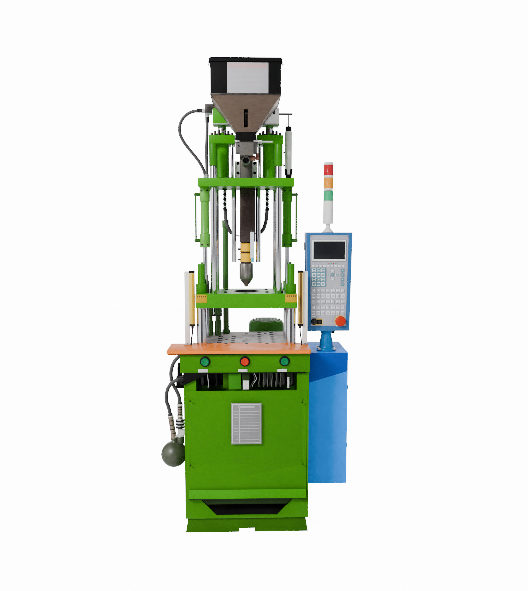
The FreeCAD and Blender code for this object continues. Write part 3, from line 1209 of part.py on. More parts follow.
def make_screw():
    """Injection screw: a plain shank, a root, a pointed tip and one unbroken helical flight."""
    core = size("screw_core_radius")
    outer = size("screw_radius") - size("running_gap")
    pitch = size("screw_pitch")
    tip_low = size("barrel_bottom") - 0.6 * size("screw_radius")
    flight_low = size("barrel_bottom") + 2 * size("screw_flight")
    flight_long = pitch * size("screw_turns")
    shank_low = flight_low + flight_long + size("screw_flight")
    crosshead_low = size("crosshead_bottom")
    drive_low = size(motor_low)
    spline_high = drive_low + size("motor_height") / 3
    outline = [(0, tip_low), (core * 0.2, tip_low), (core * 0.8, size("barrel_bottom")), (core, flight_low),
               (core, shank_low), (outer, shank_low + core),
               (outer, crosshead_low + size("crosshead_height")),
               (core, drive_low), (core, spline_high), (0, spline_high)]
    corners = [Vector(radius, 0, height) for radius, height in outline + outline[:1]]
    face = Part.Face(Part.makePolygon(corners))
    root = face.revolve(Vector(), Vector(0, 0, 1), 360)
    helix = Part.makeHelix(pitch, flight_long, core)
    helix.translate(Vector(0, 0, flight_low))
    land = size("screw_flight")
    inside = core - 1.0
    crest = land / 2 / size("flight_taper")
    section = [(inside, -land / 2), (outer, -crest), (outer, crest), (inside, land / 2), (inside, -land / 2)]
    profile = Part.makePolygon([Vector(radius, 0, flight_low + rise) for radius, rise in section])
    flight = Part.Wire(helix.Edges).makePipeShell([profile], True, True)
    print(f"screw flight: {size('screw_turns'):.0f} turns, least gap between turns {pitch - land:.1f} mm, "
          f"volume {flight.Volume:.0f}")
    return root.fuse(flight)


keep("injection_screw", from_shape("InjectionScrew", make_screw()))

# ---------------------------------------------------------------------------------------------
# Hoses of the screw motor, from the port block to the carriage plate
# ---------------------------------------------------------------------------------------------
long_start = -size("port_x") - size("port_width") / 2 - size("port_fitting")
plate_high = size(carriage_top)
LONG_HOSE = [(long_start, 5, 2102), (-248, 5, 2102), (-285, 7, 2093), (-317, 12, 2069), (-336, 18, 2034),
             (-338, 25, 1994), (-322, 32, 1957), (-290, 40, 1914), (-253, 48, 1872), (-225, 56, 1828),
             (-211, 62, 1790), (-211, 62, plate_high)]
short_x = -size("short_hose_x")
short_y = size("hose_out_y")
short_low = size(f"{motor_low} - port_height / 2 - port_fitting")
SHORT_HOSE = [(short_x, short_y, short_low), (short_x, short_y, 2025), (-200, 34, 1965), (-203, 33, 1895),
              (-201, 32, 1825), (-201, 32, plate_high)]
keep("motor_hose_long", from_shape("LongHose",
                                   tube_along(LONG_HOSE, size("small_hose_radius"), "long motor hose")))
keep("motor_hose_short", from_shape("ShortHose",
                                    tube_along(SHORT_HOSE, size("small_hose_radius"), "short motor hose")))

# ---------------------------------------------------------------------------------------------
# Electrical cabinet, pedestal and pendant
# ---------------------------------------------------------------------------------------------
cabinet = box("ElectricalBody", ("cabinet_left", "cabinet_right"), ("-cabinet_front", "cabinet_back"),
              ("cabinet_low", "cabinet_high"))
rails = [box(f"CabinetRail{number}", ("base_width / 2 + seat_gap", "cabinet_left + base_wall"),
             ("0", "cabinet_back - 4 * base_wall"), (level, f"{level} + 8 * base_wall"))
         for number, level in enumerate(("cabinet_low + 16 * base_wall", "cabinet_high - 26 * base_wall"))]
vents = []
for number in range(6):
    level = f"cabinet_low + 20 * base_wall + {number} * 4 * base_wall"
    vents.append(box(f"CabinetVent{number}", ("cabinet_right - base_wall", "cabinet_right + base_wall"),
                     ("cabinet_back / 4", "cabinet_back * 3 / 4"), (level, f"{level} + 2 * base_wall")))
keep("electrical_cabinet", cut("ElectricalCabinet", fuse("ElectricalParts", cabinet, *rails), *vents))

pin_top = "pedestal_height + swivel_pin_height"
pedestal = turned("Pedestal",
                  [("0", "0"), ("pedestal_foot_radius", "0"), ("pedestal_foot_radius", "pedestal_flange"),
                   ("pedestal_body_radius + pedestal_flare", "pedestal_flange + pedestal_flare"),
                   ("pedestal_body_radius", "pedestal_belly_low"),
                   ("pedestal_body_radius", "pedestal_belly_high"),
                   ("pedestal_neck_radius", "pedestal_neck_low"),
                   ("pedestal_neck_radius - pedestal_waist", "pedestal_height - pedestal_waist_drop"),
                   ("pedestal_neck_radius", "pedestal_height - pedestal_head"),
                   ("pedestal_body_radius + pedestal_lip", "pedestal_height - pedestal_lip_height"),
                   ("pedestal_body_radius + pedestal_lip", "pedestal_height"),
                   ("swivel_pin_radius", "pedestal_height"),
                   ("swivel_pin_radius", pin_top), ("0", pin_top)], "pedestal_x", "pedestal_y")
bind(pedestal, "Placement.Base.z", "cabinet_high")
keep("pendant_pedestal", pedestal)

box_low = "cabinet_high + pedestal_height + seat_gap"
box_high = f"{box_low} + pendant_height"
box_middle = "pedestal_x + pendant_offset"
box_front = "-pendant_depth / 2 + pedestal_y"


def trapezoid(name, inset, low_inset, high_inset, front, depth):
    """Tapered upright block of the control box, drawn in by an inset on every side."""
    low_half = f"pendant_bottom_width / 2 - ({inset})"
    high_half = f"pendant_top_width / 2 - ({inset})"
    block_points = [(f"{box_middle} - ({low_half})", f"{box_low} + {low_inset}"),
                    (f"{box_middle} + ({low_half})", f"{box_low} + {low_inset}"),
                    (f"{box_middle} + ({high_half})", f"{box_high} - {high_inset}"),
                    (f"{box_middle} - ({high_half})", f"{box_high} - {high_inset}")]
    item = padded(name, "XZ_Plane", block_points, depth)
    put(item, "0", f"{front} + {depth}", "0")
    return item


housing = trapezoid("PendantHousing", "0", "0", "0", box_front, "pendant_depth")
recess = trapezoid("PendantRecess", "pendant_rim", "pendant_rim_low", "pendant_rim_high",
                   f"{box_front} - 2 * face_thickness", "4 * face_thickness")
pin_socket = rod("SwivelSocket", "swivel_pin_radius + running_gap",
                 ("pedestal_x", "pedestal_y", f"{box_low} - 1"), "swivel_pin_height + 2")
CONTROLS = {
    "mushroom": ("pedestal_x + mushroom_offset", f"{box_low} + mushroom_level"),
    "selector": ("pedestal_x - selector_offset", f"{box_low} + selector_level"),
}
stem_holes = []
for name, (across, level) in CONTROLS.items():
    stem_holes.append(rod(f"StemHole_{name}", "button_stem_radius + running_gap",
                          (across, f"{box_front} - face_thickness", level),
                          "6 * base_wall + 4 * face_thickness", "y"))
keep("control_box", cut("ControlBox", housing, recess, pin_socket, *stem_holes))

face = trapezoid("PanelFace", "pendant_rim + seat_gap", "(pendant_rim_low + seat_gap)",
                 "(pendant_rim_high + seat_gap)", f"{box_front} + face_thickness - seat_gap",
                 "face_thickness")
screen = box("ScreenWindow", (f"{box_middle} - screen_left", f"{box_middle} + screen_right"),
             (f"{box_front} - face_thickness", f"{box_front} + face_thickness + 2"),
             (f"{box_high} - screen_low", f"{box_high} - screen_high"))
bezel_outer = box("ScreenBezel",
                  (f"{box_middle} - screen_left - screen_frame",
                   f"{box_middle} + screen_right + screen_frame"),
                  (f"{box_front} + 1", f"{box_front} + face_thickness + 1"),
                  (f"{box_high} - screen_low - screen_frame", f"{box_high} - screen_high + screen_frame"))
keep("control_face", cut("ControlFace", fuse("FaceWithBezel", face, bezel_outer), screen,
                         *[rod(f"FaceHole_{name}", "button_stem_radius + running_gap",
                               (across, f"{box_front} - face_thickness", level), "6 * face_thickness", "y")
                           for name, (across, level) in CONTROLS.items()]))

# Signal tower on the control box: dome foot, stem, white body, rings and cap, with three lamps
tower_x = "pedestal_x + tower_offset"
tower_low = box_high
lamp_low = f"{tower_low} + tower_foot_height + tower_body_height"
tower_solids = [cone("TowerDome", "tower_dome_radius", "tower_radius / 2",
                     (tower_x, "pedestal_y", tower_low), "tower_foot_height / 2"),
                rod("TowerStem", "tower_stem_radius",
                    (tower_x, "pedestal_y", tower_low), "tower_foot_height"),
                rod("TowerBody", "tower_radius", (tower_x, "pedestal_y", f"{tower_low} + tower_foot_height"),
                    "tower_body_height"),
                rod("TowerCore", "tower_stem_radius", (tower_x, "pedestal_y", lamp_low),
                    "3 * (lamp_height + lamp_gap)")]
lamps = []
for number in range(3):
    level = f"{lamp_low} + {number} * (lamp_height + lamp_gap)"
    tower_solids.append(rod(f"TowerRing{number}", "tower_radius - tower_groove",
                            (tower_x, "pedestal_y", f"{level} + lamp_height"), "lamp_gap"))
    lens = rod(f"Lens{number}", "tower_radius", (tower_x, "pedestal_y", f"{level} + seat_gap"),
               "lamp_height - 2 * seat_gap")
    lens_core = rod(f"LensCore{number}", "tower_stem_radius + seat_gap", (tower_x, "pedestal_y", level),
                    "lamp_height")
    lamps.append(cut(f"Lamp{number}", lens, lens_core))
keep("signal_tower", fuse("SignalTower", *tower_solids))
keep("signal_lamps", group("SignalLamps", *lamps))

# ---------------------------------------------------------------------------------------------
# Buttons, mushroom and key switch: each a head on a stem
# ---------------------------------------------------------------------------------------------
for label, (name, across) in zip(("start_button_left", "stop_button", "start_button_right"), BUTTON_PLACES):
    bezel_front = "-beam_front - bezel_height / 2"
    head = rod(f"Head{name}", "button_radius",
               (across, f"{bezel_front} - button_travel - button_head", "button_z"), "button_head", "y")
    stem = rod(f"Stem{name}", "button_stem_radius",
               (across, f"{bezel_front} - button_travel - 1", "button_z"),
               "button_travel + 1 + bezel_height / 2 + 3 * beam_wall", "y")
    keep(label, fuse(f"Button{name}", head, stem))

across, level = CONTROLS["mushroom"]
mushroom_back = f"{box_front} + face_thickness - button_travel - 2"
mushroom = fuse("Mushroom",
                cone("MushroomHead", "mushroom_front_radius", "mushroom_radius",
                     (across, f"{mushroom_back} - mushroom_height", level),
                     "mushroom_height - mushroom_skirt", "y"),
                cone("MushroomSkirt", "mushroom_radius", "mushroom_neck_radius",
                     (across, f"{mushroom_back} - mushroom_skirt", level), "mushroom_skirt", "y"),
                rod("MushroomStem", "button_stem_radius", (across, f"{mushroom_back} - 1", level),
                    "6 * base_wall", "y"))
keep("emergency_button", mushroom)

across, level = CONTROLS["selector"]
selector_front = f"{box_front} + face_thickness - selector_length - 1"
selector = fuse("Selector",
                rod("SelectorBody", "selector_radius",
                    (across, selector_front, level), "selector_length", "y"),
                rod("SelectorStem", "button_stem_radius", (across, selector_front, level),
                    "6 * base_wall + key_half", "y"),
                box("SelectorKey", (f"{across} - 2", f"{across} + 2"),
                    (f"{selector_front} - key_reach", selector_front),
                    (f"{level} - key_half", f"{level} + key_half")))
keep("key_switch", selector)

# ---------------------------------------------------------------------------------------------
# Rear: oil tank, pump motor and riser
# ---------------------------------------------------------------------------------------------
tank_front = "base_back + seat_gap"
tank = box("TankBody", ("-tank_half_width", "tank_half_width"), (tank_front, f"{tank_front} + tank_depth"),
           ("tank_foot", "tank_top"))
feet = []
for side in (-1, 1):
    for end in (0, 1):
        low = f"{side} * (tank_half_width - 6 * base_wall) - 5 * base_wall"
        deep = f"{tank_front} + {end} * (tank_depth - 10 * base_wall)"
        feet.append(box(f"TankFoot{side + 1}{end}", (low, f"{low} + 10 * base_wall"),
                        (deep, f"{deep} + 10 * base_wall"), ("0", "tank_foot")))
filler = rod("TankFiller", "5 * base_wall", ("-motor_x", f"{tank_front} + tank_depth / 2", "tank_top"),
             "6 * base_wall")
gauge = box("TankGauge", ("-tank_half_width + 8 * base_wall", "-tank_half_width + 14 * base_wall"),
            (f"{tank_front} + tank_depth", f"{tank_front} + tank_depth + base_wall"),
            ("tank_top - 36 * base_wall", "tank_top - 8 * base_wall"))
keep("oil_tank", fuse("OilTank", tank, *feet, filler, gauge))

cowl_fillet = "pump_motor_radius * 0.25"
motor_y = f"{tank_front} + tank_depth / 2"
pump_motor = turned("PumpMotor",
                    [("0", "tank_top"), ("pump_motor_radius", "tank_top"),
                     ("pump_motor_radius", "tank_top + 3 * base_wall"),
                     ("pump_motor_radius - 3 * base_wall", "tank_top + 3 * base_wall"),
                     ("pump_motor_radius - 3 * base_wall", "pump_motor_top - pump_motor_radius"),
                     ("pump_motor_radius", "pump_motor_top - pump_motor_radius"),
                     ("pump_motor_radius", f"pump_motor_top - {cowl_fillet}"),
                     (f"pump_motor_radius - {cowl_fillet} * 0.4", f"pump_motor_top - {cowl_fillet} * 0.3"),
                     (f"pump_motor_radius - {cowl_fillet} * 1.3", "pump_motor_top"),
                     ("0", "pump_motor_top")],
                    "motor_x", motor_y)
fins = []
for number in range(12):
    fin = box(f"MotorFin{number}", ("pump_motor_radius - 4 * base_wall", "pump_motor_radius - base_wall"),
              ("-base_wall / 2", "base_wall / 2"),
              ("tank_top + 3 * base_wall", "pump_motor_top - pump_motor_radius"))
    around = FreeCAD.Placement(Vector(), FreeCAD.Rotation(Vector(0, 0, 1), 30 * number + 15))
    doc.recompute()
    shape = fin.Shape.copy()
    shape.Placement = around.multiply(shape.Placement)
    shape.translate(Vector(size("motor_x"), size(motor_y), 0))
    fins.append(from_shape(f"MotorFinTurned{number}", shape))
keep("pump_motor", fuse("PumpMotorBody", pump_motor, *fins))

riser = fuse("Riser",
             rod("RiserPipe", "riser_radius", ("-riser_x", "riser_y", "table_top"), "riser_top - table_top"),
             rod("RiserFoot", "riser_radius * 1.8", ("-riser_x", "riser_y", "table_top"), "4 * base_wall"),
             rod("RiserNut", "riser_radius * 1.5", ("-riser_x", "riser_y", "riser_top - 6 * base_wall"),
                 "8 * base_wall"))
keep("riser_pipe", riser)

# ---------------------------------------------------------------------------------------------
# Light curtains: posts on the work table, bars on the posts, cables into the table
# ---------------------------------------------------------------------------------------------
posts = []
bars = []
for side, name in ((-1, "Left"), (1, "Right")):
    low = f"{side} * post_x - post_width / 2"
    posts.append(box(f"Post{name}", (low, f"{low} + post_width"),
                     ("-post_y - post_width / 2", "-post_y + post_width / 2"), ("table_top", "post_top")))
    middle = f"{side} * (post_x - post_width / 2 - bar_width / 2 - seat_gap)"
    bar = box(f"Bar{name}", (f"{middle} - bar_width / 2", f"{middle} + bar_width / 2"),
              ("-post_y - post_width / 2 - bar_width / 2", "-post_y - post_width / 2 + bar_width / 2"),
              ("bar_bottom", "bar_top"))
    bars.append(bar)
keep("curtain_posts", group("CurtainPosts", *posts))
keep("curtain_bars", group("CurtainBars", *bars))

# Cables of the light curtains: distances from the axis, places front to back, and drops from the bars
CABLE_BENDS = [(271, -114, 0), (271, -114, 25), (274, -116, 51), (278, -118, 74)]
table_high = size("table_top")
for side, name in ((-1, "left"), (1, "right")):
    route = [(side * across, along, size("bar_bottom") - drop) for across, along, drop in CABLE_BENDS]
    route.append((route[-1][0], route[-1][1], table_high))
    cable = tube_along(route, size("cable_radius"), f"curtain cable {name}")
    keep(f"curtain_cable_{name}", from_shape(f"CurtainCable{name.title()}", cable))

# ---------------------------------------------------------------------------------------------
# Left side: accumulator, hoses with crimped ends, coupling, valve block and knob
# ---------------------------------------------------------------------------------------------
wall_face = "-base_width / 2 - seat_gap"
sphere = ball("AccumulatorBall", "accumulator_radius", ("-accumulator_x", "-accumulator_y", "accumulator_z"))
seam = rod("AccumulatorSeam", "accumulator_radius + 1",
           ("-accumulator_x", "-accumulator_y", "accumulator_z - 2"), "4")
clamp = box("AccumulatorClamp", ("-accumulator_x", wall_face),
            ("-accumulator_y + 5 * base_wall", "-accumulator_y + 8 * base_wall"),
            ("accumulator_z - 6 * base_wall", "accumulator_z + 6 * base_wall"))
centre = Vector(-size("accumulator_x"), -size("accumulator_y"), size("accumulator_z"))
ferrule_foot = centre + Vector(0, 0, size("neck_height"))
ferrule_top = ferrule_foot + Vector(-size("ferrule_lean"), 0, size("ferrule_rise"))
lean = (ferrule_top - ferrule_foot).normalize()
neck = from_shape("AccumulatorNeck", Part.makeCylinder(size("neck_width"), size("neck_height"),
                                                       ferrule_foot - lean * size("neck_height"), lean))
keep("accumulator", fuse("Accumulator", sphere, seam, clamp, neck))

crimp = size("crimp_radius")
ring = crimp + size("crimp_ring")
ring_height = size("crimp_ring_height")
clear = size("seat_gap")
slanted_low = ferrule_foot + lean * clear
slanted_length = (ferrule_top - slanted_low).Length
slanted = Part.makeCylinder(crimp, slanted_length, slanted_low, lean)
slanted = slanted.fuse(Part.makeCylinder(ring, ring_height, slanted_low, lean))
slanted = slanted.fuse(Part.makeCylinder(ring, ring_height, ferrule_top - lean * ring_height, lean))
coupling_x = -size("coupling_x")
coupling_y = -size("coupling_y")
coupling_low = size("coupling_low")
coupling_high = size("coupling_high")
core = size("coupling_core")
stack = Part.makeCylinder(core, coupling_high - coupling_low, Vector(coupling_x, coupling_y, coupling_low))
for number in range(3):
    rib_low = coupling_low + size("coupling_rib_low") + size("coupling_pitch") * number
    stack = stack.fuse(Part.makeCylinder(size("coupling_radius"), size("coupling_rib"),
                                         Vector(coupling_x, coupling_y, rib_low)))
holder = Part.makeBox(size(wall_face) - coupling_x, 2 * core, 2 * core,
                      Vector(coupling_x, coupling_y - core, coupling_low + ring_height))
ferrule_end = size("ferrule_high")
upright = Part.makeCylinder(crimp, ferrule_end - coupling_high,
                            Vector(coupling_x, coupling_y, coupling_high))
stack = stack.fuse(holder).fuse(upright)
keep("hose_fittings", group("HoseFittings",
                            from_shape("SlantedFerrule", slanted), from_shape("Coupling", stack)))

platen_edge = -size("lower_platen_width") / 2
base_edge = -size("base_width") / 2
UPPER_HOSE = [(platen_edge, -85, 886), (-295, -85, 886), (-338, -86, 869), (-370, -87, 836),
              (-386, -89, 793), (-386, -91, 749), (-373, -93, 711), (-353, -95, 677),
              (coupling_x, coupling_y, 644), (coupling_x, coupling_y, ferrule_end)]
LOWER_HOSE = [(base_edge, -116, 752), (-339, -116, 752), (-374, -115, 738), (-398, -113, 709),
              (-409, -109, 672), (-410, -104, 632), tuple(ferrule_top + lean * size("ferrule_lead")),
              tuple(ferrule_top)]
keep("upper_side_hose", from_shape("UpperHose",
                                   tube_along(UPPER_HOSE, size("hose_radius"), "upper side hose")))
keep("lower_side_hose", from_shape("LowerHose",
                                   tube_along(LOWER_HOSE, size("hose_radius"), "lower side hose")))

valve = box("ValveBlock", (f"{wall_face} - valve_reach", wall_face),
            ("-valve_y - 6 * base_wall", "-valve_y + 6 * base_wall"),
            ("valve_low", "valve_low + valve_height"))
relief = rod("ReliefValve", "valve_radius",
             ("-valve_x", "-valve_y", "valve_low + valve_height"), "valve_stem")
relief_pin = rod("ReliefPin", "valve_radius / 3", ("-valve_x", "-valve_y", "valve_low + valve_height"),
                 "valve_stem + knob_height / 2")
keep("valve_block", fuse("ValveAssembly", valve, relief, relief_pin))
knob = rod("KnobBody", "knob_radius",
           ("-valve_x", "-valve_y", "valve_low + valve_height + valve_stem + seat_gap"), "knob_height")
knob_bore = rod("KnobBore", "valve_radius / 3 + running_gap",
                ("-valve_x", "-valve_y", "valve_low + valve_height + valve_stem"), "knob_height / 2 + 1")
keep("relief_knob", cut("Knob", knob, knob_bore))

# ---------------------------------------------------------------------------------------------
# Check every object and write one file for each sub-part
# ---------------------------------------------------------------------------------------------
doc.recompute()
for item in doc.Objects:
    if "Invalid" in item.State or "Error" in item.State:
        raise RuntimeError(f"{item.Name} failed: {item.State}")
os.makedirs("parts", exist_ok=True)
facets = 0
for item in sub_parts:
    shape = item.Shape
    if shape.isNull() or not shape.isValid() or not shape.Solids:
        raise RuntimeError(f"{item.Label} has no valid solid")
    shape.exportStep(f"parts/{item.Label}.step")
    count = len(shape.tessellate(0.5)[1])
    facets += count
    box_size = shape.BoundBox
    print(f"{item.Label}: {len(shape.Solids)} solids, {shape.Volume / 1000:.0f} cm3, {count} facets, "
          f"X {box_size.XMin:.1f}..{box_size.XMax:.1f} Y {box_size.YMin:.1f}..{box_size.YMax:.1f} "
          f"Z {box_size.ZMin:.1f}..{box_size.ZMax:.1f}")
print(f"{len(sub_parts)} sub-parts, {facets} facets")
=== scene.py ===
"""Small vertical injection moulding machine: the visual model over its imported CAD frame."""
import json
import logging
import math
from collections.abc import Callable, Iterable, Sequence
from dataclasses import dataclass
from enum import Enum
from itertools import product

import bmesh
import bpy
from mathutils import Matrix, Vector

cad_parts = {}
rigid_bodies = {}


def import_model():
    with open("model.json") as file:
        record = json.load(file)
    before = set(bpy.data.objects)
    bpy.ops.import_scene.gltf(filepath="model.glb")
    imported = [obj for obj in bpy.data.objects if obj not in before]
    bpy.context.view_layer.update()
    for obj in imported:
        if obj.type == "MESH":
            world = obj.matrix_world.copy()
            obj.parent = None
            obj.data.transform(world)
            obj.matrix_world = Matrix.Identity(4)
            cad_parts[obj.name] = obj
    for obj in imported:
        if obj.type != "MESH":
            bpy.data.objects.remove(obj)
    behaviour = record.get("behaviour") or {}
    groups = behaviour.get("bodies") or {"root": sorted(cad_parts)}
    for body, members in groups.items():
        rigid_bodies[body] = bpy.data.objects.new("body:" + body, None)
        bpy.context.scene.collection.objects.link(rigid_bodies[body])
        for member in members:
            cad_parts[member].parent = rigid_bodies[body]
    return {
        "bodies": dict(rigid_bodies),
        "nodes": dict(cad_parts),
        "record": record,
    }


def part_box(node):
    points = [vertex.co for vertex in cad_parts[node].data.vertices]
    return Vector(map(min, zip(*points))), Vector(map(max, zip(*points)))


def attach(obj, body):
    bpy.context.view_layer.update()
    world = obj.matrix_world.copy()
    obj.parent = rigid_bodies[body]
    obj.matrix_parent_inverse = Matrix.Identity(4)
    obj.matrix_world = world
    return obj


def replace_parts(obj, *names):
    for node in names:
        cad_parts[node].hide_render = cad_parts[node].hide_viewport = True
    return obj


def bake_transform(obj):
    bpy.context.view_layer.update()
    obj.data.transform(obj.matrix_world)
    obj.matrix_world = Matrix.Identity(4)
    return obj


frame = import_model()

LOG = logging.getLogger("moulding_machine")
MM = 0.001
WELD = 0.001
CAD_WELD = 0.01
CREASE = 34.0
TABLE_TOP = 925.0
PLATEN_TOP = 1187.0
CARRIAGE_TOP = 1755.0
CROSSHEAD_TOP = 2111.0
Point = Sequence[float]
Colour = tuple[float, float, float]
SLOTS = {part["node"]: part["material_slot"] for part in frame["record"]["subparts"]}


class Way(Enum):
    """Directions in the row frame."""

    RIGHT = (1, 0, 0)
    LEFT = (-1, 0, 0)
    BACK = (0, 1, 0)
    FRONT = (0, -1, 0)
    UP = (0, 0, 1)
    DOWN = (0, 0, -1)


RIGHT, LEFT, BACK, FRONT, UP, DOWN = Way


def extents(node: str) -> tuple[Vector, Vector]:
    """Lowest and highest corner of a CAD node, in millimetres."""
    low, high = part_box(node)
    return low / MM, high / MM


def body_of(node: str) -> str:
    """Name of the body that carries a CAD node."""
    carrier = frame["nodes"][node].parent
    return next(name for name, empty in frame["bodies"].items() if empty == carrier)


def curve_mesh(kind: str, points: Iterable[Point], line: dict, run: dict) -> bpy.types.Mesh:
    """Makes the mesh of a curve with one spline.

    Args:
        kind: the spline's type.
        points: its points.
        line: the curve's settings.
        run: the spline's settings.

    Returns:
        The mesh, which the caller removes.
    """
    curve = bpy.data.curves.new("line", "CURVE")
    curve.dimensions = "3D"
    spline = curve.splines.new(kind)
    places = list(points)
    spline.points.add(len(places) - 1)
    for spot, place in zip(spline.points, places):
        spot.co = (*place, 1.0)
    for owner, settings in ((curve, line), (spline, run)):
        for key, value in settings.items():
            setattr(owner, key, value)
    carrier = bpy.data.objects.new("line", curve)
    shape = bpy.data.meshes.new_from_object(carrier)
    bpy.data.objects.remove(carrier)
    bpy.data.curves.remove(curve)
    return shape


def placed(name: str, data: bpy.types.ID) -> bpy.types.Object:
    """Makes an object of a mesh, light or camera and puts it in the scene."""
    made = bpy.data.objects.new(name, data)
    bpy.context.scene.collection.objects.link(made)
    return made


def route_line(route: Iterable[Point], resolution: int = 8) -> list[Vector]:
    """Points along the smooth spline that has a route's points as its control points."""
    shape = curve_mesh("NURBS", route, {}, {"order_u": 3, "use_endpoint_u": True, "resolution_u": resolution})
    line = [vertex.co.copy() for vertex in shape.vertices]
    bpy.data.meshes.remove(shape)
    return line


class Graph:
    """Places and joins the nodes of one node tree."""

    def __init__(self, tree: bpy.types.NodeTree) -> None:
        """Keeps the tree that is worked on."""
        self.tree = tree

    def add(self, kind: str, settings: dict | None = None, **sockets: object) -> bpy.types.Node:
        """Adds a node.

        Args:
            kind: the node's type name.
            settings: the node's own properties.
            **sockets: a value or an output socket for each input, with _ for a space in its name.

        Returns:
            The new node.
        """
        node = self.tree.nodes.new(kind)
        for key, value in (settings or {}).items():
            setattr(node, key, value)
        for key, value in sockets.items():
            name = key.replace("_", " ")
            socket = node.inputs[int(name[1:])] if name[0] == "n" and name[1:].isdigit() else node.inputs[name]
            if isinstance(value, bpy.types.NodeSocket):
                self.tree.links.new(value, socket)
            else:
                socket.default_value = value
        return node

    def shader(self) -> bpy.types.Node:
        """Finds a material's own shader."""
        return next(node for node in self.tree.nodes if node.type == "BSDF_PRINCIPLED")

    def noise(self, vector: object, scale: object, detail: float = 3.0, rough: float = 0.55) -> object:
        """Adds fractal noise and returns its value socket."""
        node = self.add("ShaderNodeTexNoise", Vector=vector, Scale=scale, Detail=detail, Roughness=rough)
        return node.outputs["Fac"]

    def span(self, value: object, low: float, high: float, to_low: float = 0.0, to_high: float = 1.0) -> object:
        """Maps a value from one span to another and returns the result's socket."""
        node = self.add("ShaderNodeMapRange", n0=value, n1=low, n2=high, n3=to_low, n4=to_high)
        return node.outputs["Result"]

    def maths(self, operation: str, first: object, second: object = 0.0) -> object:
        """Adds a sum and returns its socket."""
        return self.add("ShaderNodeMath", {"operation": operation}, n0=first, n1=second).outputs[0]

    def blend(self, share: object, first: object, second: object, way: str = "MIX") -> object:
        """Mixes two colours and returns the result's socket."""
        node = self.add("ShaderNodeMix", {"data_type": "RGBA", "blend_type": way}, n0=share, n6=first, n7=second)
        return node.outputs[2]

    def stretched(self, vector: object, stretch: object) -> object:
        """Scales coordinates and returns the vector socket."""
        return self.add("ShaderNodeMapping", Vector=vector, Scale=stretch).outputs["Vector"]


class Effect:
    """A node group that is built once and placed in many materials."""

    made: dict[str, bpy.types.NodeTree] = {}

    @classmethod
    def tree(cls, name: str, inputs: dict[str, str], outputs: dict[str, str],
             wire: Callable[[Graph, dict, dict], None]) -> bpy.types.NodeTree:
        """Finds or builds a group.

        Args:
            name: the group's name.
            inputs: each input's name and socket kind.
            outputs: each output's name and socket kind.
            wire: joins the nodes; gets the graph, the input sockets and the output sockets.

        Returns:
            The node group.
        """
        if name not in cls.made:
            tree = bpy.data.node_groups.new(name, "ShaderNodeTree")
            for label, kind in inputs.items():
                tree.interface.new_socket(name=label, in_out="INPUT", socket_type=kind)
            for label, kind in outputs.items():
                tree.interface.new_socket(name=label, in_out="OUTPUT", socket_type=kind)
            source = tree.nodes.new("NodeGroupInput")
            result = tree.nodes.new("NodeGroupOutput")
            wire(Graph(tree), {s.name: s for s in source.outputs if s.name},
                 {s.name: s for s in result.inputs if s.name})
            cls.made[name] = tree
        return cls.made[name]


FLOAT = "NodeSocketFloat"
COLOR = "NodeSocketColor"
VECTOR = "NodeSocketVector"
SURFACE_OUT = {"Color": COLOR, "Roughness": FLOAT, "Height": FLOAT}
# Each wire function gets the group's graph, its input sockets and its output sockets.


def wire_worn_surface(graph: Graph, given: dict, result: dict) -> None:
    """Joins the nodes of a worn surface: tone shifts, grime, fine scratches and a pebbled skin."""
    link = graph.tree.links.new
    place = given["Vector"]
    patches = graph.span(graph.noise(place, given["Patch Scale"], 5, 0.6), 0.36, 0.66)
    tone = graph.blend(patches, given["Color"], given["Deep Color"])
    grime = graph.span(graph.noise(place, 17.0, 8, 0.68), 0.53, 0.74)
    soiled = graph.maths("MULTIPLY", grime, given["Wear"])
    tone = graph.blend(soiled, tone, given["Grime Color"])
    lines = graph.noise(graph.stretched(place, (34.0, 260.0, 9.0)), 3.0, 2, 0.5)
    scratches = graph.maths("MULTIPLY", graph.span(lines, 0.66, 0.71), given["Wear"])
    tone = graph.blend(graph.maths("MULTIPLY", scratches, 0.12), tone, given["Deep Color"])
    link(tone, result["Color"])
    skin = graph.noise(place, given["Grain Scale"], 2, 0.5)
    rough = graph.maths("ADD", given["Roughness"], graph.span(patches, 0.0, 1.0, -0.05, 0.06))
    rough = graph.maths("ADD", rough, graph.maths("MULTIPLY", soiled, 0.28))
    rough = graph.maths("ADD", rough, graph.maths("MULTIPLY", scratches, 0.15))
    link(graph.maths("ADD", rough, graph.span(skin, 0.3, 0.7, -0.02, 0.02)), result["Roughness"])
    link(graph.maths("SUBTRACT", skin, graph.maths("MULTIPLY", scratches, 0.6)), result["Height"])


def wire_tooled_metal(graph: Graph, given: dict, result: dict) -> None:
    """Joins the nodes of tooled metal: stretched tool lines, stains and small pits."""
    link = graph.tree.links.new
    lines = graph.noise(graph.stretched(given["Vector"], given["Stretch"]), 1.0, 3, 0.6)
    stains = graph.span(graph.noise(given["Vector"], 21.0, 6, 0.62), 0.42, 0.68)
    pits = graph.span(graph.noise(given["Vector"], 900.0, 2, 0.5), 0.64, 0.72)
    tone = graph.blend(graph.span(lines, 0.3, 0.7), given["Color"], given["Deep Color"])
    tone = graph.blend(graph.maths("MULTIPLY", stains, given["Stain"]), tone, given["Stain Color"])
    link(tone, result["Color"])
    rough = graph.maths("ADD", given["Roughness"], graph.span(lines, 0.3, 0.7, -0.06, 0.08))
    rough = graph.maths("ADD", rough, graph.maths("MULTIPLY", stains, graph.maths("MULTIPLY", given["Stain"], 0.4)))
    link(rough, result["Roughness"])
    link(graph.maths("SUBTRACT", lines, graph.maths("MULTIPLY", pits, 0.5)), result["Height"])


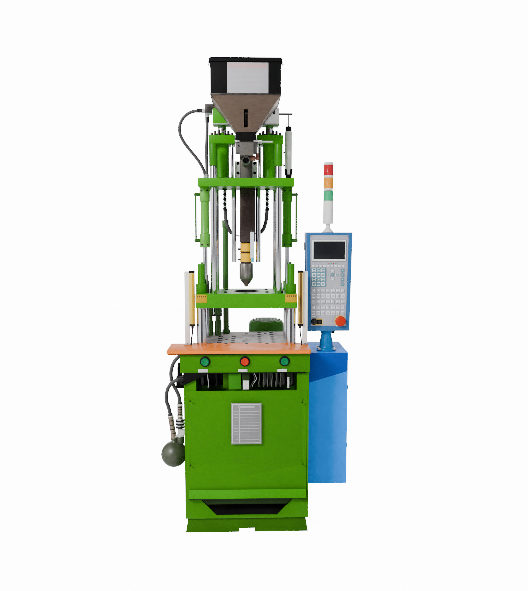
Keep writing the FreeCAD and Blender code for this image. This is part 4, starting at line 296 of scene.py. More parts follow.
def wire_braided_cover(graph: Graph, given: dict, result: dict) -> None:
    """Joins the nodes of a braided cover: two crossing sets of strands, laid out on the UV map."""
    link = graph.tree.links.new
    parts = graph.add("ShaderNodeSeparateXYZ", Vector=given["UV"]).outputs
    along = graph.maths("MULTIPLY", parts[0], given["Along"])
    around = graph.maths("MULTIPLY", parts[1], given["Around"])
    right = graph.maths("SINE", graph.maths("ADD", along, around))
    left = graph.maths("SINE", graph.maths("SUBTRACT", along, around))
    weave = graph.maths("MAXIMUM", graph.maths("ABSOLUTE", right), graph.maths("ABSOLUTE", left))
    tone = graph.blend(graph.span(weave, 0.55, 0.98), given["Deep Color"], given["Color"])
    dust = graph.span(graph.noise(given["Vector"], 30.0, 6, 0.6), 0.5, 0.75, 0.0, 0.45)
    link(graph.blend(dust, tone, given["Dust Color"]), result["Color"])
    link(graph.maths("ADD", graph.span(weave, 0.5, 1.0, 0.72, 0.5), graph.maths("MULTIPLY", dust, 0.3)),
         result["Roughness"])
    link(weave, result["Height"])


def rgba(colour: Colour) -> tuple[float, float, float, float]:
    """A colour with full alpha."""
    return (*colour, 1.0)


@dataclass(frozen=True)
class Finish:
    """What every finish has: a name, a main colour and a deeper shade of it."""

    name: str
    color: Colour
    deep: Colour
    roughness: float = 0.4

    def surface(self, graph: Graph) -> tuple[bpy.types.Node, float, float]:
        """Adds the group that gives colour, roughness and height.

        Args:
            graph: the material's graph.

        Returns:
            The group's node, the bump's strength and its distance in metres.
        """
        raise NotImplementedError

    def tune(self, shader: bpy.types.Node) -> None:
        """Sets the shader's constant values."""

    def material(self) -> bpy.types.Material:
        """Finds or builds the material.

        Returns:
            The material.
        """
        known = bpy.data.materials.get(self.name)
        if known:
            return known
        material = bpy.data.materials.new(self.name)
        material.use_nodes = True
        material.diffuse_color = rgba(self.color)
        graph = Graph(material.node_tree)
        shader = graph.shader()
        surface, strength, distance = self.surface(graph)
        bump = graph.add("ShaderNodeBump", Strength=strength, Distance=distance, Height=surface.outputs["Height"])
        link = material.node_tree.links.new
        link(surface.outputs["Color"], shader.inputs["Base Color"])
        link(surface.outputs["Roughness"], shader.inputs["Roughness"])
        link(bump.outputs["Normal"], shader.inputs["Normal"])
        self.tune(shader)
        return material


@dataclass(frozen=True)
class Enamel(Finish):
    """Sprayed enamel or powder paint with a pebbled skin and some wear."""

    coat: float = 0.02
    wear: float = 0.1
    patch_scale: float = 4.0
    grain_scale: float = 620.0
    grime: Colour = (0.05, 0.055, 0.03)
    bump: float = 0.22
    shine: float = 0.11

    def surface(self, graph: Graph) -> tuple[bpy.types.Node, float, float]:
        """See Finish.surface."""
        place = graph.add("ShaderNodeTexCoord").outputs["Object"]
        inputs = {"Vector": VECTOR, "Color": COLOR, "Deep Color": COLOR, "Grime Color": COLOR, "Roughness": FLOAT,
                  "Patch Scale": FLOAT, "Grain Scale": FLOAT, "Wear": FLOAT}
        tree = Effect.tree("worn_surface", inputs, SURFACE_OUT, wire_worn_surface)
        node = graph.add("ShaderNodeGroup", {"node_tree": tree}, Vector=place, Color=rgba(self.color),
                         Deep_Color=rgba(self.deep), Grime_Color=rgba(self.grime), Roughness=self.roughness,
                         Patch_Scale=self.patch_scale, Grain_Scale=self.grain_scale, Wear=self.wear)
        return node, self.bump, 0.0004

    def tune(self, shader: bpy.types.Node) -> None:
        """Gives the paint its clear top layer."""
        shader.inputs["Coat Weight"].default_value = self.coat
        shader.inputs["Coat Roughness"].default_value = 0.12
        shader.inputs["Specular IOR Level"].default_value = self.shine


@dataclass(frozen=True)
class Metal(Finish):
    """Bare metal with tool lines and stains."""

    stretch: Colour = (60.0, 60.0, 900.0)
    stain: float = 0.3
    stain_color: Colour = (0.16, 0.13, 0.09)
    metallic: float = 1.0
    bump: float = 0.15
    shine: float = 0.5

    def surface(self, graph: Graph) -> tuple[bpy.types.Node, float, float]:
        """See Finish.surface."""
        place = graph.add("ShaderNodeTexCoord").outputs["Object"]
        inputs = {"Vector": VECTOR, "Stretch": VECTOR, "Color": COLOR, "Deep Color": COLOR, "Stain Color": COLOR,
                  "Roughness": FLOAT, "Stain": FLOAT}
        tree = Effect.tree("tooled_metal", inputs, SURFACE_OUT, wire_tooled_metal)
        node = graph.add("ShaderNodeGroup", {"node_tree": tree}, Vector=place, Stretch=self.stretch,
                         Color=rgba(self.color), Deep_Color=rgba(self.deep), Stain_Color=rgba(self.stain_color),
                         Roughness=self.roughness, Stain=self.stain)
        return node, self.bump, 0.0003

    def tune(self, shader: bpy.types.Node) -> None:
        """Makes the surface metallic."""
        shader.inputs["Metallic"].default_value = self.metallic
        shader.inputs["Specular IOR Level"].default_value = self.shine


@dataclass(frozen=True)
class Plastic(Enamel):
    """Moulded plastic: a fine even grain, little wear, and light that goes in a little way."""

    coat: float = 0.0
    wear: float = 0.06
    grain_scale: float = 1500.0
    glow: float = 0.0

    def tune(self, shader: bpy.types.Node) -> None:
        """Lets light into the plastic."""
        shader.inputs["Subsurface Weight"].default_value = self.glow
        shader.inputs["Subsurface Scale"].default_value = 0.004
        shader.inputs["Coat Weight"].default_value = self.coat
        shader.inputs["Specular IOR Level"].default_value = self.shine


@dataclass(frozen=True)
class Braid(Finish):
    """Braided or ribbed cover of a hose, laid out along its UV map."""

    along: float = 220.0
    around: float = 25.0
    dust: Colour = (0.09, 0.085, 0.075)
    metallic: float = 0.0
    bump: float = 0.6

    def surface(self, graph: Graph) -> tuple[bpy.types.Node, float, float]:
        """See Finish.surface."""
        coordinates = graph.add("ShaderNodeTexCoord").outputs
        inputs = {"UV": VECTOR, "Vector": VECTOR, "Color": COLOR, "Deep Color": COLOR, "Dust Color": COLOR,
                  "Along": FLOAT, "Around": FLOAT}
        tree = Effect.tree("braided_cover", inputs, SURFACE_OUT, wire_braided_cover)
        node = graph.add("ShaderNodeGroup", {"node_tree": tree}, UV=coordinates["UV"], Vector=coordinates["Object"],
                         Color=rgba(self.color), Deep_Color=rgba(self.deep), Dust_Color=rgba(self.dust),
                         Along=self.along, Around=self.around)
        return node, self.bump, 0.0008

    def tune(self, shader: bpy.types.Node) -> None:
        """Sets how metallic the strands are."""
        shader.inputs["Metallic"].default_value = self.metallic


GREEN = Enamel("machine_green", (0.038, 0.295, 0.0005), (0.033, 0.26, 0.0005), 0.38, shine=0.08)
CABINET_GREEN = Enamel("cabinet_green", (0.034, 0.19, 0.001), (0.030, 0.172, 0.001), 0.44, patch_scale=2.2,
                       shine=0.06)
# Darker green that stands in as painted shade on the foot frame and a recess strip; the panel screws share it.
FOOT_GREEN = Enamel("foot_green", (0.025, 0.122, 0.001), (0.021, 0.10, 0.001), 0.44, shine=0.06)
PIPE_GREEN = Enamel("pipe_green", (0.028, 0.125, 0.010), (0.02, 0.09, 0.007), 0.26, coat=0.1, wear=0.2, shine=0.4)
# Darker copy of the machine green, used as painted shade on the right touch cylinder, the rod caps and a recess plate.
DIM_GREEN = Enamel("shaded_green", (0.028, 0.20, 0.004), (0.022, 0.16, 0.003), 0.34)
# Lighter copy of the machine green, used as painted light on the left touch cylinder.
LIT_GREEN = Enamel("lit_green", (0.10, 0.43, 0.03), (0.08, 0.36, 0.02), 0.28, coat=0.15, shine=0.5)
MOTOR_GREEN = Enamel("motor_green", (0.05, 0.20, 0.02), (0.04, 0.16, 0.015), 0.4)
OLIVE = Enamel("vessel_olive", (0.044, 0.056, 0.026), (0.03, 0.04, 0.018), 0.42, coat=0.1, wear=0.3, shine=0.6)
ORANGE = Enamel("table_orange", (1.0, 0.225, 0.012), (0.93, 0.19, 0.009), 0.3, coat=0.02, wear=0.05, bump=0.06,
                shine=0.025)
BLUE = Enamel("cabinet_blue", (0.0, 0.26, 1.0), (0.0, 0.235, 0.93), 0.42, patch_scale=3.0, shine=0.04)
# Darker blue for the table's shadow, painted onto the cabinet's front.
SHADOW_BLUE = Enamel("cabinet_painted_shadow_blue", (0.0, 0.064, 0.43), (0.0, 0.056, 0.38), 0.42, patch_scale=3.0, shine=0.05)
STAND_BLUE = Enamel("pedestal_blue", (0.0, 0.155, 0.44), (0.0, 0.12, 0.36), 0.3, coat=0.1)
FRAME_BLUE = Enamel("console_blue", (0.035, 0.14, 0.36), (0.025, 0.11, 0.30), 0.36)
YELLOW = Enamel("sensor_yellow", (0.92, 0.66, 0.10), (0.88, 0.60, 0.08), 0.4)
AMBER = Enamel("marking_amber", (0.56, 0.33, 0.0), (0.48, 0.27, 0.0), 0.5, wear=0.3, shine=0.03)
WHITE = Enamel("light_enamel", (0.92, 0.92, 0.91), (0.88, 0.88, 0.86), 0.42)
PALE = Enamel("pale_grey", (0.58, 0.60, 0.60), (0.50, 0.52, 0.53), 0.42)
SKY = Enamel("pale_sheet", (0.80, 0.86, 0.93), (0.74, 0.80, 0.88), 0.4)
BLACK = Enamel("black_enamel", (0.005, 0.005, 0.005), (0.008, 0.008, 0.008), 0.5, shine=0.02)
FACE = Plastic("console_face", (0.44, 0.44, 0.50), (0.39, 0.39, 0.45), 0.46)
STEEL = Metal("turned_steel", (0.42, 0.42, 0.43), (0.30, 0.30, 0.31), 0.45, (45.0, 900.0, 900.0), metallic=0.6)
DARK_STEEL = Metal("blackened_steel", (0.02, 0.021, 0.023), (0.012, 0.012, 0.014), 0.42, metallic=0.6)
STAINLESS = Metal("funnel_stainless", (0.155, 0.105, 0.078), (0.12, 0.08, 0.06), 0.42, (30.0, 400.0, 60.0), 0.3,
                  metallic=0.5)
CHROME = Metal("ground_chrome", (0.80, 0.80, 0.83), (0.68, 0.68, 0.71), 0.09, (20.0, 20.0, 1600.0), 0.1, bump=0.03)
CAST = Metal("cast_skin", (0.13, 0.122, 0.112), (0.06, 0.058, 0.055), 0.55, (420.0, 420.0, 420.0), 0.4,
             metallic=0.0, bump=0.6, shine=0.15)
NOZZLE = Metal("nozzle_steel", (0.34, 0.31, 0.29), (0.09, 0.082, 0.075), 0.28, (260.0, 260.0, 8.0), 0.3, metallic=0.7)
BED_STEEL = Metal("bed_steel", (0.46, 0.43, 0.42), (0.30, 0.28, 0.275), 0.55, (45.0, 900.0, 900.0), metallic=0.1,
                  shine=0.1)
HEATER = Enamel("heater_yellow", (1.0, 0.55, 0.0), (0.9, 0.44, 0.0), 0.5, wear=0.08, shine=0.03)
BRONZE = Metal("hot_cover", (0.05, 0.034, 0.030), (0.03, 0.021, 0.019), 0.2, (60.0, 60.0, 300.0), 0.1, metallic=0.6,
               bump=0.03)
FERRULE = Metal("brown_ferrule", (0.36, 0.28, 0.22), (0.22, 0.16, 0.12), 0.32, (30.0, 30.0, 600.0), 0.3, metallic=0.5)
LEAD = Plastic("grey_lead", (0.13, 0.15, 0.11), (0.10, 0.12, 0.085), 0.5)
UMBER = Plastic("curtain_window", (0.15, 0.08, 0.022), (0.11, 0.055, 0.015), 0.2, coat=0.3)
RUBBER = Braid("braided_hose", (0.06, 0.056, 0.058), (0.008, 0.008, 0.009))
SLEEVE = Braid("woven_sleeve", (0.03, 0.029, 0.027), (0.008, 0.008, 0.007), along=150.0, around=19.0)
CABLE = Plastic("cable_jacket", (0.012, 0.012, 0.013), (0.018, 0.018, 0.019), 0.5)
GREEN_BUTTON = Plastic("button_green", (0.0, 0.19, 0.055), (0.0, 0.15, 0.045), 0.3, coat=0.05, shine=0.1)
RED_BUTTON = Plastic("button_red", (0.60, 0.022, 0.002), (0.50, 0.016, 0.002), 0.3, coat=0.05, shine=0.1)
RED_LENS = Plastic("lens_red", (0.55, 0.006, 0.02), (0.44, 0.003, 0.014), 0.16, coat=0.5, glow=0.2)
AMBER_LENS = Plastic("lens_amber", (0.93, 0.34, 0.006), (0.85, 0.27, 0.004), 0.16, coat=0.4, glow=0.2)
GREEN_LENS = Plastic("lens_green", (0.01, 0.50, 0.20), (0.008, 0.40, 0.15), 0.16, coat=0.5, glow=0.2)
BLACK_PLASTIC = Plastic("moulded_black", (0.006, 0.006, 0.007), (0.01, 0.01, 0.011), 0.45, shine=0.06)
WHITE_PLASTIC = Plastic("white_plastic", (0.92, 0.92, 0.90), (0.88, 0.88, 0.86), 0.4)
TEAL_KEYS = Plastic("keys_teal", (0.11, 0.26, 0.33), (0.09, 0.22, 0.28), 0.42)
PALE_KEYS = Plastic("keys_pale", (0.96, 0.96, 1.0), (0.88, 0.88, 0.94), 0.42)
SCREEN = Plastic("screen_glass", (0.010, 0.010, 0.013), (0.014, 0.014, 0.018), 0.14, coat=0.05, bump=0.02)
PLATE = Metal("bare_plate", (0.24, 0.232, 0.245), (0.20, 0.195, 0.205), 0.45, (700.0, 60.0, 60.0), 0.1, metallic=0.2)
LILAC = Enamel("lilac_sheet", (0.47, 0.46, 0.49), (0.42, 0.41, 0.44), 0.45)
TUBE_GREY = Plastic("tube_grey", (0.74, 0.77, 0.69), (0.67, 0.70, 0.62), 0.4)
TAG = Metal("bare_tag", (0.80, 0.80, 0.80), (0.72, 0.72, 0.72), 0.45, (700.0, 60.0, 60.0), 0.1, metallic=0.2)
PRINT = Plastic("printed_field", (0.50, 0.47, 0.50), (0.44, 0.41, 0.44), 0.5)
BLUSH = Plastic("printed_band", (0.60, 0.40, 0.41), (0.52, 0.33, 0.34), 0.5)
SHADE = Enamel("deep_shade_green", (0.012, 0.032, 0.006), (0.009, 0.024, 0.004), 0.5)
CYAN = Enamel("cyan_end", (0.10, 0.50, 0.72), (0.08, 0.42, 0.62), 0.4)
RUST = Metal("red_brown_elbow", (0.26, 0.11, 0.08), (0.18, 0.07, 0.05), 0.4, (90.0, 90.0, 90.0), 0.3, metallic=0.3)
SHEET_EDGE = Metal("sheet_edge", (0.24, 0.175, 0.14), (0.19, 0.135, 0.105), 0.4, (30.0, 400.0, 60.0), 0.2,
                   metallic=0.4)
# Near-black for the shaded insides of the platen's bore and the spout: painted shade.
SHADE_INSIDE = Plastic("painted_shade_inside", (0.012, 0.012, 0.012), (0.02, 0.018, 0.016), 0.7)


class Solid:
    """One piece under construction, in millimetres; each form gets its edges before it joins the others."""

    def __init__(self) -> None:
        """Starts with nothing."""
        self.mesh = bmesh.new()
        self.finishes: list[Finish] = []

    def index_of(self, finish: Finish) -> int:
        """Place of a finish in this piece's list, which grows as needed."""
        if finish not in self.finishes:
            self.finishes.append(finish)
        return self.finishes.index(finish)

    def join(self, form: bmesh.types.BMesh, finish: Finish, bevel: float = 0.0,
             choose: Callable[[Vector], Finish] | None = None) -> "Solid":
        """Bevels a form's sharp edges and adds it to the piece.

        Args:
            form: the form, which is used up.
            finish: what the form is finished in.
            bevel: width of the bevel, in millimetres.
            choose: gives the finish from the middle of a face, where one form has several.

        Returns:
            The piece itself.
        """
        bmesh.ops.remove_doubles(form, verts=form.verts, dist=WELD)
        bmesh.ops.recalc_face_normals(form, faces=form.faces)
        if bevel:
            sharp = [e for e in form.edges if e.is_manifold and e.calc_face_angle(0.0) > math.radians(CREASE)]
            bmesh.ops.bevel(form, geom=sharp, offset=bevel, offset_type="OFFSET", segments=2, profile=0.5,
                            affect="EDGES", material=-1, clamp_overlap=True)
        for face in form.faces:
            face.material_index = self.index_of(choose(face.calc_center_median()) if choose else finish)
        shape = bpy.data.meshes.new("form")
        form.to_mesh(shape)
        form.free()
        self.mesh.from_mesh(shape)
        bpy.data.meshes.remove(shape)
        return self

    def block(self, low: Point, high: Point, finish: Finish, bevel: float = 1.0) -> "Solid":
        """Adds a block between two corners."""
        form = bmesh.new()
        low, high = Vector(low), Vector(high)
        size = Matrix.Diagonal((*(high - low), 1.0))
        bmesh.ops.create_cube(form, size=1.0, matrix=Matrix.Translation((low + high) / 2) @ size)
        return self.join(form, finish, bevel)

    def panel(self, face: float, spot: tuple[float, float, float, float], out: float, back: float, finish: Finish,
              bevel: float) -> "Solid":
        """Adds a block on a front face at Y; spot is its left, bottom, right and top."""
        left, bottom, right, top = spot
        return self.block((left, face - out, bottom), (right, face + back, top), finish, bevel)

    def rod(self, start: Point, end: Point, radius: float, finish: Finish, tip: float | None = None,
            sides: int = 32, bevel: float = 0.6) -> "Solid":
        """Adds a round or many-sided bar, which may taper to the tip's radius."""
        form = bmesh.new()
        start, end = Vector(start), Vector(end)
        turn = (end - start).to_track_quat("Z", "Y").to_matrix().to_4x4()
        bmesh.ops.create_cone(form, cap_ends=True, segments=sides, radius1=radius,
                              radius2=radius if tip is None else tip, depth=(end - start).length,
                              matrix=Matrix.Translation((start + end) / 2) @ turn)
        return self.join(form, finish, bevel)

    def turned(self, profile: Iterable[tuple[float, float]], base: Point, finish: Finish, way: Way = UP,
               steps: int = 40, bevel: float = 0.0) -> "Solid":
        """Adds a turned form: its profile is (radius, height) from one end on the axis to the other."""
        form = bmesh.new()
        points = [form.verts.new((radius, 0.0, height)) for radius, height in profile]
        edges = [form.edges.new(pair) for pair in zip(points, points[1:])]
        bmesh.ops.spin(form, geom=points + edges, cent=(0, 0, 0), axis=(0, 0, 1), angle=math.tau, steps=steps,
                       use_merge=True)
        turn = Vector(way.value).to_track_quat("Z", "Y").to_matrix().to_4x4()
        bmesh.ops.transform(form, matrix=Matrix.Translation(base) @ turn, verts=form.verts)
        return self.join(form, finish, bevel)

    def lathe(self, bore: float, outer: Sequence[tuple[float, float]], base: Point, finish: Finish, way: Way = UP,
              steps: int = 40, bevel: float = 0.0) -> "Solid":
        """Adds a turned form with flat ends from its outer profile; a bore of 0 leaves it solid."""
        foot, head = (bore, outer[0][1]), (bore, outer[-1][1])
        return self.turned([foot, *outer, head] + [foot] * bool(bore), base, finish, way, steps, bevel)

    def ring(self, inner: float, outer: float, height: float, base: Point, finish: Finish, way: Way = UP,
             steps: int = 40, low: float = 0) -> "Solid":
        """Adds a square-edged ring between two radii, from a low height to a high one."""
        return self.lathe(inner, [(outer, low), (outer, height)], base, finish, way, steps)

    def disc(self, radius: float, height: float, base: Point, finish: Finish, way: Way = UP,
             steps: int = 40, bevel: float = 0.0) -> "Solid":
        """Adds a plain disc."""
        return self.lathe(0, [(radius, 0), (radius, height)], base, finish, way, steps, bevel)

    def ball(self, centre: Point, radius: float, finish: Finish, squeeze: Point = (1, 1, 1)) -> "Solid":
        """Adds a ball, which may be squeezed along the axes."""
        form = bmesh.new()
        place = Matrix.Translation(centre) @ Matrix.Diagonal((*squeeze, 1.0))
        bmesh.ops.create_uvsphere(form, u_segments=40, v_segments=24, radius=radius, matrix=place)
        return self.join(form, finish)

    def slab(self, outline: Iterable[Point], thickness: Point, finish: Finish, bevel: float = 1.0) -> "Solid":
        """Adds a slab: an outline of points in one plane, drawn out by the thickness vector."""
        form = bmesh.new()
        face = form.faces.new([form.verts.new(point) for point in outline])
        grown = bmesh.ops.extrude_face_region(form, geom=[face])["geom"]
        moved = [item for item in grown if isinstance(item, bmesh.types.BMVert)]
        bmesh.ops.translate(form, vec=thickness, verts=moved)
        return self.join(form, finish, bevel)

    def sheet(self, span: Point, start: Point, end: Point, thickness: Point, finish: Finish, bevel: float) -> "Solid":
        """Adds a flat sheet over a span of X, between two level edges that are given by their (Y, Z)."""
        outline = [(span[0], *start), (span[1], *start), (span[1], *end), (span[0], *end)]
        return self.slab(outline, thickness, finish, bevel)

    def louvres(self, start: Point, length: float, rows: int, pitch: float, lip: tuple[float, float], rise: float,
                finish: Finish) -> "Solid":
        """Adds pressed louvres along Y, from the lowest one's start; lip is how far each stands out and drops."""
        x, y, low = start
        for z in (low + row * pitch for row in range(rows)):
            self.slab([(x, y, z), (x + lip[0], y, z - lip[1]), (x, y, z + rise)], (0, length, 0), finish, 0.4)
        return self

    def screw(self, centre: Point, radius: float, finish: Finish, way: Way = FRONT, head: float = 0.7) -> "Solid":
        """Adds a socket screw's head that stands on a face; head is its height over its radius."""
        height = radius * head
        profile = [(0, height * 0.35), (radius * 0.5, height * 0.4), (radius * 0.5, height), (radius * 0.88, height),
                   (radius, height * 0.85), (radius, 0), (0, 0)]
        return self.turned(profile, centre, finish, way, 18)

    def screws(self, places: Iterable[Point], radius: float, finish: Finish, way: Way = FRONT) -> "Solid":
        """Adds a socket screw's head at each place."""
        for place in places:
            self.screw(place, radius, finish, way)
        return self

    def rivet(self, place: Point, radius: float, flat: float = 0.5) -> "Solid":
        """Adds a flat rivet's head on a front face."""
        return self.ball(place, radius, STEEL, (1, flat, 1))

    def gland(self, place: Point, tall: float) -> "Solid":
        """Adds a cable gland that points down, with its sleeve."""
        self.nut(place, 13.0, 8.0, BLACK_PLASTIC, DOWN)
        foot = Vector(place) - Vector((0, 0, 8))
        return self.lathe(0, [(9, 0), (8, tall)], foot, BLACK_PLASTIC, DOWN)

    def nut(self, centre: Point, radius: float, height: float, finish: Finish, way: Way = UP) -> "Solid":
        """Adds a hexagon nut or bolt head."""
        end = Vector(centre) + Vector(way.value) * height
        return self.rod(centre, end, radius, finish, sides=6, bevel=radius * 0.07)

    def tube(self, points: Iterable[Point], radius: float, finish: Finish, sides: int = 6) -> "Solid":
        """Adds a closed tube along a line of points, with its UV map along and round it."""
        line = {"bevel_depth": radius, "bevel_resolution": sides, "use_fill_caps": True}
        shape = curve_mesh("POLY", points, line, {})
        form = bmesh.new()
        form.from_mesh(shape)
        bpy.data.meshes.remove(shape)
        return self.join(form, finish)

    def cad(self, node: str, finish: Finish, bevel: float = 0.8,
            choose: Callable[[Vector], Finish] | None = None) -> "Solid":
        """Adds a copy of a CAD node: its points merged, its flat faces made whole and its edges bevelled."""
        form = bmesh.new()
        form.from_mesh(frame["nodes"][node].data)
        bmesh.ops.scale(form, vec=(1 / MM,) * 3, verts=form.verts)
        bmesh.ops.remove_doubles(form, verts=form.verts, dist=CAD_WELD)
        bmesh.ops.dissolve_limit(form, angle_limit=math.radians(0.6), verts=form.verts, edges=form.edges)
        return self.join(form, finish, bevel, choose=choose)

    def made(self, name: str, smooth: float = CREASE) -> bpy.types.Object:
        """Makes the object in metres; edges under the angle smooth, in degrees, are shaded smooth."""
        bmesh.ops.scale(self.mesh, vec=(MM,) * 3, verts=self.mesh.verts)
        shape = bpy.data.meshes.new(name)
        self.mesh.to_mesh(shape)
        self.mesh.free()
        for finish in self.finishes:
            shape.materials.append(finish.material())
        shape.shade_smooth()
        shape.set_sharp_from_angle(angle=math.radians(smooth))
        return placed(name, shape)

    def piece(self, name: str, slot: str, body: str = "frame", smooth: float = CREASE) -> bpy.types.Object:
        """Makes the finished object on a CAD body."""
        made = self.made(name, smooth)
        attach(made, body)
        LOG.info("%s: %d faces on %s", name, len(made.data.polygons), body)
        return made

    def stand_in(self, name: str, node: str, smooth: float = CREASE) -> None:
        """Makes the finished object in place of a CAD node, on the node's own body."""
        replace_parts(self.piece(name, SLOTS[node], body_of(node), smooth), node)


def refined(node: str, name: str, finish: Finish, bevel: float = 0.8,
            choose: Callable[[Vector], Finish] | None = None) -> None:
    """Puts a refined copy of a CAD node in its place.

    Args:
        node: name of the CAD node.
        name: the new piece's name.
        finish: its finish.
        bevel: width of its edges' bevel, in millimetres.
        choose: gives the finish from the middle of a face, where the node has several.
    """
    Solid().cad(node, finish, bevel, choose).stand_in(name, node)


@dataclass
class Studio:
    """Pale floor, soft lights and the camera at the photograph's place."""

    camera_place: Point = (0.0, -3.100, 1.479)
    pitch: float = -5.8
    turn: float = -1.70
    lens: float = 36.43
    sensor: float = 36.0
    surround: tuple[float, float] = (0.20, 0.52)
    dark_room: float = 0.10
    left_room: float = 2.0
    right_room: float = 0.75
    back_room: float = 2.4
    left_share: float = 1.25
    right_share: float = 0.62
    backdrop: float = 14.0
    floor_glow: float = 13.0
    sharpness: float = 0.6

    def build(self) -> None:
        """Builds the floor, the world, the lights and the camera."""
        self.floor()
        self.world()
        self.lamp("key_light", (-2.8, -3.6, 3.8), (0.0, 0.0, 1.1), 1.2, 300.0)
        self.lamp("fill_light", (3.2, -2.8, 2.0), (0.0, 0.0, 1.0), 2.4, 34.0, mirrored=False)
        self.lamp("front_light", (-0.4, -4.4, 1.2), (0.0, 0.0, 0.8), 1.8, 30.0, mirrored=False)
        self.lamp("back_light", (0.8, 3.2, 3.2), (0.0, 0.0, 1.2), 2.2, 60.0)
        self.camera()

    def floor(self) -> None:
        """Lays the pale floor, faintly mottled and bright to the camera."""
        form = bmesh.new()
        bmesh.ops.create_grid(form, x_segments=8, y_segments=8, size=9.0)
        shape = bpy.data.meshes.new("floor")
        form.to_mesh(shape)
        form.free()
        paint = Enamel("pale_floor", (0.86, 0.86, 0.86), (0.83, 0.83, 0.83), 0.6, coat=0.0, wear=0.0,
                       patch_scale=0.8, grain_scale=90.0, bump=0.03).material()
        graph = Graph(paint.node_tree)
        shader = graph.shader()
        shader.inputs["Emission Color"].default_value = (1.0, 1.0, 1.0, 1.0)
        seen = graph.add("ShaderNodeLightPath").outputs["Is Camera Ray"]
        paint.node_tree.links.new(graph.maths("MULTIPLY", seen, self.floor_glow), shader.inputs["Emission Strength"])
        shape.materials.append(paint)
        placed("floor", shape)

    def world(self) -> None:
        """Sets plain surroundings: white to the camera, softer from the right, two lit walls in reflections."""
        world = bpy.data.worlds.new("surroundings")
        world.use_nodes = True
        graph = Graph(world.node_tree)
        back = world.node_tree.nodes["Background"]
        back.inputs["Color"].default_value = (0.98, 0.99, 1.0, 1.0)
        way = graph.add("ShaderNodeSeparateXYZ", Vector=graph.add("ShaderNodeTexCoord").outputs["Generated"]).outputs
        path = graph.add("ShaderNodeLightPath").outputs
        soft = graph.maths("MULTIPLY", graph.span(way["Z"], -0.3, 0.8, *self.surround),
                           graph.span(way["X"], -1.0, 1.0, self.left_share, self.right_share))
        behind = graph.span(way["Y"], 0.62, 0.9, self.dark_room, self.back_room)
        walls = graph.maths("MAXIMUM", graph.span(way["X"], -0.42, -0.3, self.left_room, 0.0),
                            graph.span(way["X"], 0.3, 0.42, 0.0, self.right_room))
        walls = graph.maths("MULTIPLY", walls, graph.span(way["Y"], 0.25, 0.35, 1.0, 0.0))
        room = graph.maths("MAXIMUM", behind, walls)
        mirrored = graph.add("ShaderNodeMix", n0=path["Is Glossy Ray"], n2=soft, n3=room).outputs[0]
        direct = graph.maths("MULTIPLY", path["Is Camera Ray"], self.backdrop)
        world.node_tree.links.new(graph.maths("MAXIMUM", mirrored, direct), back.inputs["Strength"])
        bpy.context.scene.world = world

    def lamp(self, name: str, place: Point, target: Point, size: float, power: float, mirrored: bool = True) -> None:
        """Adds a square area light that looks at a point.

        Args:
            name: the light's name.
            place: where it hangs, in metres.
            target: what it looks at, in metres.
            size: its side, in metres.
            power: its strength, in watts.
            mirrored: whether glossy surfaces show it.
        """
        light = bpy.data.lights.new(name, "AREA")
        light.size = size
        light.energy = power
        made = placed(name, light)
        made.location = place
        made.rotation_euler = (Vector(target) - Vector(place)).to_track_quat("-Z", "Y").to_euler()
        made.visible_glossy = mirrored

    def camera(self) -> None:
        """Places the camera."""
        data = bpy.data.cameras.new("camera")
        data.lens = self.lens
        data.sensor_width = self.sensor
        data.dof.use_dof = False
        made = placed("camera", data)
        made.location = self.camera_place
        made.rotation_euler = (math.radians(90 + self.pitch), 0.0, math.radians(self.turn))
        scene = bpy.context.scene
        scene.camera = made
        scene.cycles.filter_width = self.sharpness


